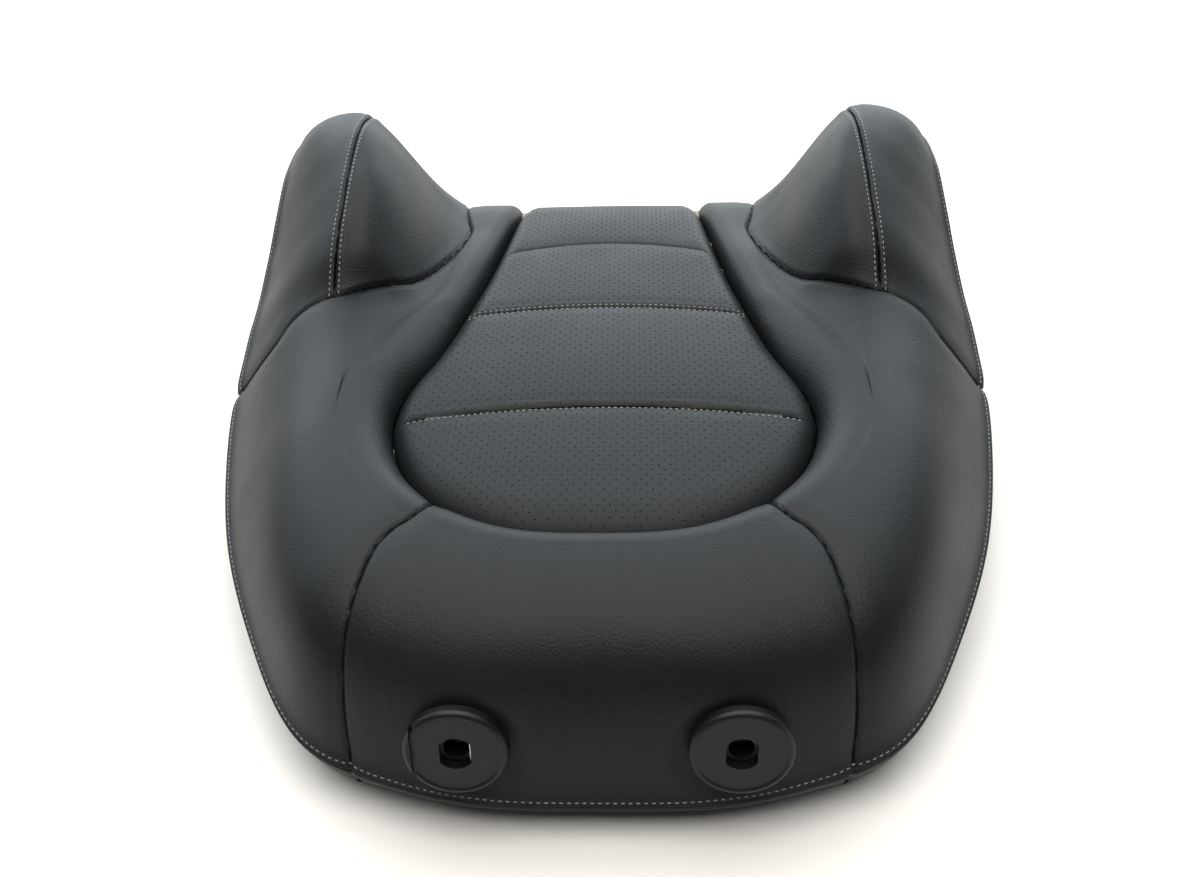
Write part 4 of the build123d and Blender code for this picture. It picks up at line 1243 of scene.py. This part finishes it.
class BACKREST_OT_foam(bpy.types.Operator):
    """Make the foam core that fills the covers"""

    bl_idname = "backrest.foam"
    bl_label = "Foam core"

    def execute(self, context):
        dg = context.evaluated_depsgraph_get()
        covers = [o for o in bpy.data.objects if o.name.endswith("_sewn") and "band" not in o.name]
        trees = [BVHTree.FromObject(o, dg) for o in covers]
        v = columns(300)
        rim = collar(np.full_like(v, 3.0), v)
        xs, ss = np.arange(-260, 261, 6.5), np.arange(10, 569, 6.5)
        def fields(x, s):
            edge = self.inside(x, s, rim[:, :2])
            return (edge,)
        core = leather_grid(xs, ss, fields)
        core, _ = core.cut(2, offset=16.0, snap=0.6)
        keep = np.unique(core.tris)
        x, s = core.points[:, 0], core.points[:, 1]
        top = np.full(len(x), 40.0)
        around = ((0, 0), (7, 0), (-7, 0), (0, 7), (0, -7))
        for k in keep:
            heights = [self.drop(trees, x[k] + dx, s[k] + dy) for dx, dy in around]
            top[k] = min(heights) - 7.0
        bottom = np.where((np.abs(x) < self.room(s)) & (s > 50), 64.5, 26.0)
        bottom = np.where((np.abs(x) > NOTCH_X - 3) & (s > NOTCH_STATION - 3), 94.0, bottom)
        top = np.maximum(top, bottom + 4)
        tris = core.tris
        n = len(x)
        points = np.vstack([np.column_stack([x, s, top]), np.column_stack([x, s, bottom])])
        edges = {}
        for a, b, c in tris.tolist():
            for e in ((a, b), (b, c), (c, a)):
                edges[e] = True
        walls = [(b, a, a + n, b + n) for a, b in edges if (b, a) not in edges]
        faces = [tuple(t) for t in tris.tolist()] + [tuple(i + n for i in t[::-1]) for t in tris.tolist()]
        walls = [f for a, b, c, d in walls for f in ((a, b, c), (a, c, d))]
        points, tris, _ = merged(points, np.array(faces + walls))
        obj = mesh_object("foam_core", points, tris, smooth=False)
        obj.data.shade_smooth()
        obj.data.set_sharp_from_angle(angle=math.radians(40))
        join_frame(obj, "foam", "foam", "foam_pad", fill=1.0)
        return {"FINISHED"}

    def room(self, s):
        """Half-width of the frame's space at each station."""
        return np.interp(s, (50, 54, 252, 260), (170, 177, 229, 229))

    def inside(self, x, s, rim):
        """Distance inside the pad's outline, negative outside."""
        d = np.full(x.shape, 1e9)
        for (ax, ay), (bx, by) in zip(rim[:-1], rim[1:]):
            dx, dy = bx - ax, by - ay
            t = np.clip(((x - ax) * dx + (s - ay) * dy) / (dx * dx + dy * dy + 1e-9), 0, 1)
            d = np.minimum(d, np.hypot(x - ax - t * dx, s - ay - t * dy))
        half = np.interp(s, rim[len(rim) // 2 :, 1], rim[len(rim) // 2 :, 0])
        return np.where((np.abs(x) < half) & (s > 0), np.minimum(d, 576 - s + 12), -d)

    def drop(self, trees, x, s):
        """Height of the highest cover over a place."""
        start, down = Vector((x * MM, (s + FRONT) * MM, 0.4)), Vector((0, 0, -1))
        hits = [t.ray_cast(start, down)[0] for t in trees]
        return max([h.z / MM for h in hits if h is not None], default=75.0)


class BACKREST_OT_hardware(bpy.types.Operator):
    """Give the frame, guides and recliners their finishes"""

    bl_idname = "backrest.hardware"
    bl_label = "Hardware finishes"

    def execute(self, context):
        for finish, nodes in NODE_FINISH.items():
            for node in nodes:
                give(NODES[node], finish)
        return {"FINISHED"}


class BACKREST_OT_studio(bpy.types.Operator):
    """Set the floor, the soft lights and the camera"""

    bl_idname = "backrest.studio"
    bl_label = "Studio"

    def execute(self, context):
        studio = context.scene.backrest_studio
        scene = context.scene
        mesh = bpy.data.meshes.new("floor")
        mesh.from_pydata([(-9, -9, -0.0006), (9, -9, -0.0006), (9, 9, -0.0006), (-9, 9, -0.0006)], [], [(0, 1, 2, 3)])
        floor = bpy.data.objects.new("floor", mesh)
        scene.collection.objects.link(floor)
        material, tree, shader, place = new_material("matt_paper_floor", Roughness=0.9, Specular_IOR_Level=0.1)
        varied(tree, place, shader, studio.floor_colour, "#dad8d4", 900)
        mesh.materials.append(material)
        world = bpy.data.worlds.new("room")
        scene.world = world
        world.use_nodes = True
        room = world.node_tree
        seen = add(room, "ShaderNodeLightPath").outputs["Is Camera Ray"]
        strength = add(room, "ShaderNodeMapRange", {"Value": seen, "To Min": studio.sky_strength, "To Max": 0.93})
        back = room.nodes["Background"]
        back.inputs["Color"].default_value = (1.0, 1.0, 1.0, 1.0)
        room.links.new(strength.outputs["Result"], back.inputs["Strength"])
        self.softbox("overhead", (0.0, -0.1, 2.4), (0, -0.1, 0.1), (3.0, 3.0), studio.key_power, (1.0, 0.98, 0.95))
        self.softbox("beyond", (0.0, 2.5, 1.5), (0, 0.0, 0.9), (5.0, 3.0), studio.back_power, (0.86, 0.95, 1.0))
        for side in (-1, 1):
            self.softbox("side", (side * 2.0, 1.0, 1.3), (0, 0.2, 0.1), (1.8, 1.6), studio.side_power * (0.7 - 0.3 * side), (0.9, 0.96, 1.0))
        data = bpy.data.cameras.new("camera")
        data.sensor_width = 36.0
        data.lens = 36.0 * 1300 / 1179
        camera = bpy.data.objects.new("camera", data)
        scene.collection.objects.link(camera)
        pitch, yaw, roll = math.radians(40), math.radians(-2.82), math.radians(-2.23)
        ahead = Vector((math.sin(yaw) * math.cos(pitch), math.cos(yaw) * math.cos(pitch), -math.sin(pitch)))
        right = ahead.cross(Vector((0, 0, 1))).normalized()
        up = right.cross(ahead)
        side = right * math.cos(roll) + up * math.sin(roll)
        top = up * math.cos(roll) - right * math.sin(roll)
        turn = Matrix((side, top, -ahead)).transposed().to_4x4()
        camera.matrix_world = Matrix.Translation((0.0226, -0.7523, 0.637)) @ turn
        scene.camera = camera
        scene.view_settings.view_transform = "Standard"
        return {"FINISHED"}

    def softbox(self, name, place, target, size, power, colour):
        data = bpy.data.lights.new(name, "AREA")
        data.shape = "RECTANGLE"
        data.size, data.size_y = size
        data.energy = power
        data.color = colour
        light = bpy.data.objects.new(name, data)
        bpy.context.scene.collection.objects.link(light)
        light.location = place
        light.rotation_euler = (Vector(target) - Vector(place)).to_track_quat("-Z", "Y").to_euler()


class BACKREST_PT_panel(bpy.types.Panel):
    bl_label = "Backrest"
    bl_idname = "BACKREST_PT_panel"
    bl_space_type = "VIEW_3D"
    bl_region_type = "UI"
    bl_category = "Backrest"

    def draw(self, context):
        for group in (context.scene.backrest_trim, context.scene.backrest_studio):
            box = self.layout.box()
            for name in group.__annotations__:
                box.prop(group, name)
        for operator in OPERATORS:
            self.layout.operator(operator.bl_idname)


OPERATORS = (BACKREST_OT_covers, BACKREST_OT_bands, BACKREST_OT_insert, BACKREST_OT_stitching,
             BACKREST_OT_foam, BACKREST_OT_hardware, BACKREST_OT_studio)
CLASSES = (BackrestTrim, BackrestStudio, *OPERATORS, BACKREST_PT_panel)


def register():
    for cls in CLASSES:
        bpy.utils.register_class(cls)
    bpy.types.Scene.backrest_trim = bpy.props.PointerProperty(type=BackrestTrim)
    bpy.types.Scene.backrest_studio = bpy.props.PointerProperty(type=BackrestStudio)


def unregister():
    del bpy.types.Scene.backrest_studio, bpy.types.Scene.backrest_trim
    for cls in reversed(CLASSES):
        bpy.utils.unregister_class(cls)


def main():
    register()
    make_finishes(bpy.context.scene.backrest_trim)
    bpy.ops.backrest.covers()
    bpy.ops.backrest.bands()
    bpy.ops.backrest.insert()
    bpy.ops.backrest.stitching()
    bpy.ops.backrest.foam()
    bpy.ops.backrest.hardware()
    bpy.ops.backrest.studio()


if __name__ == "__main__":
    main()
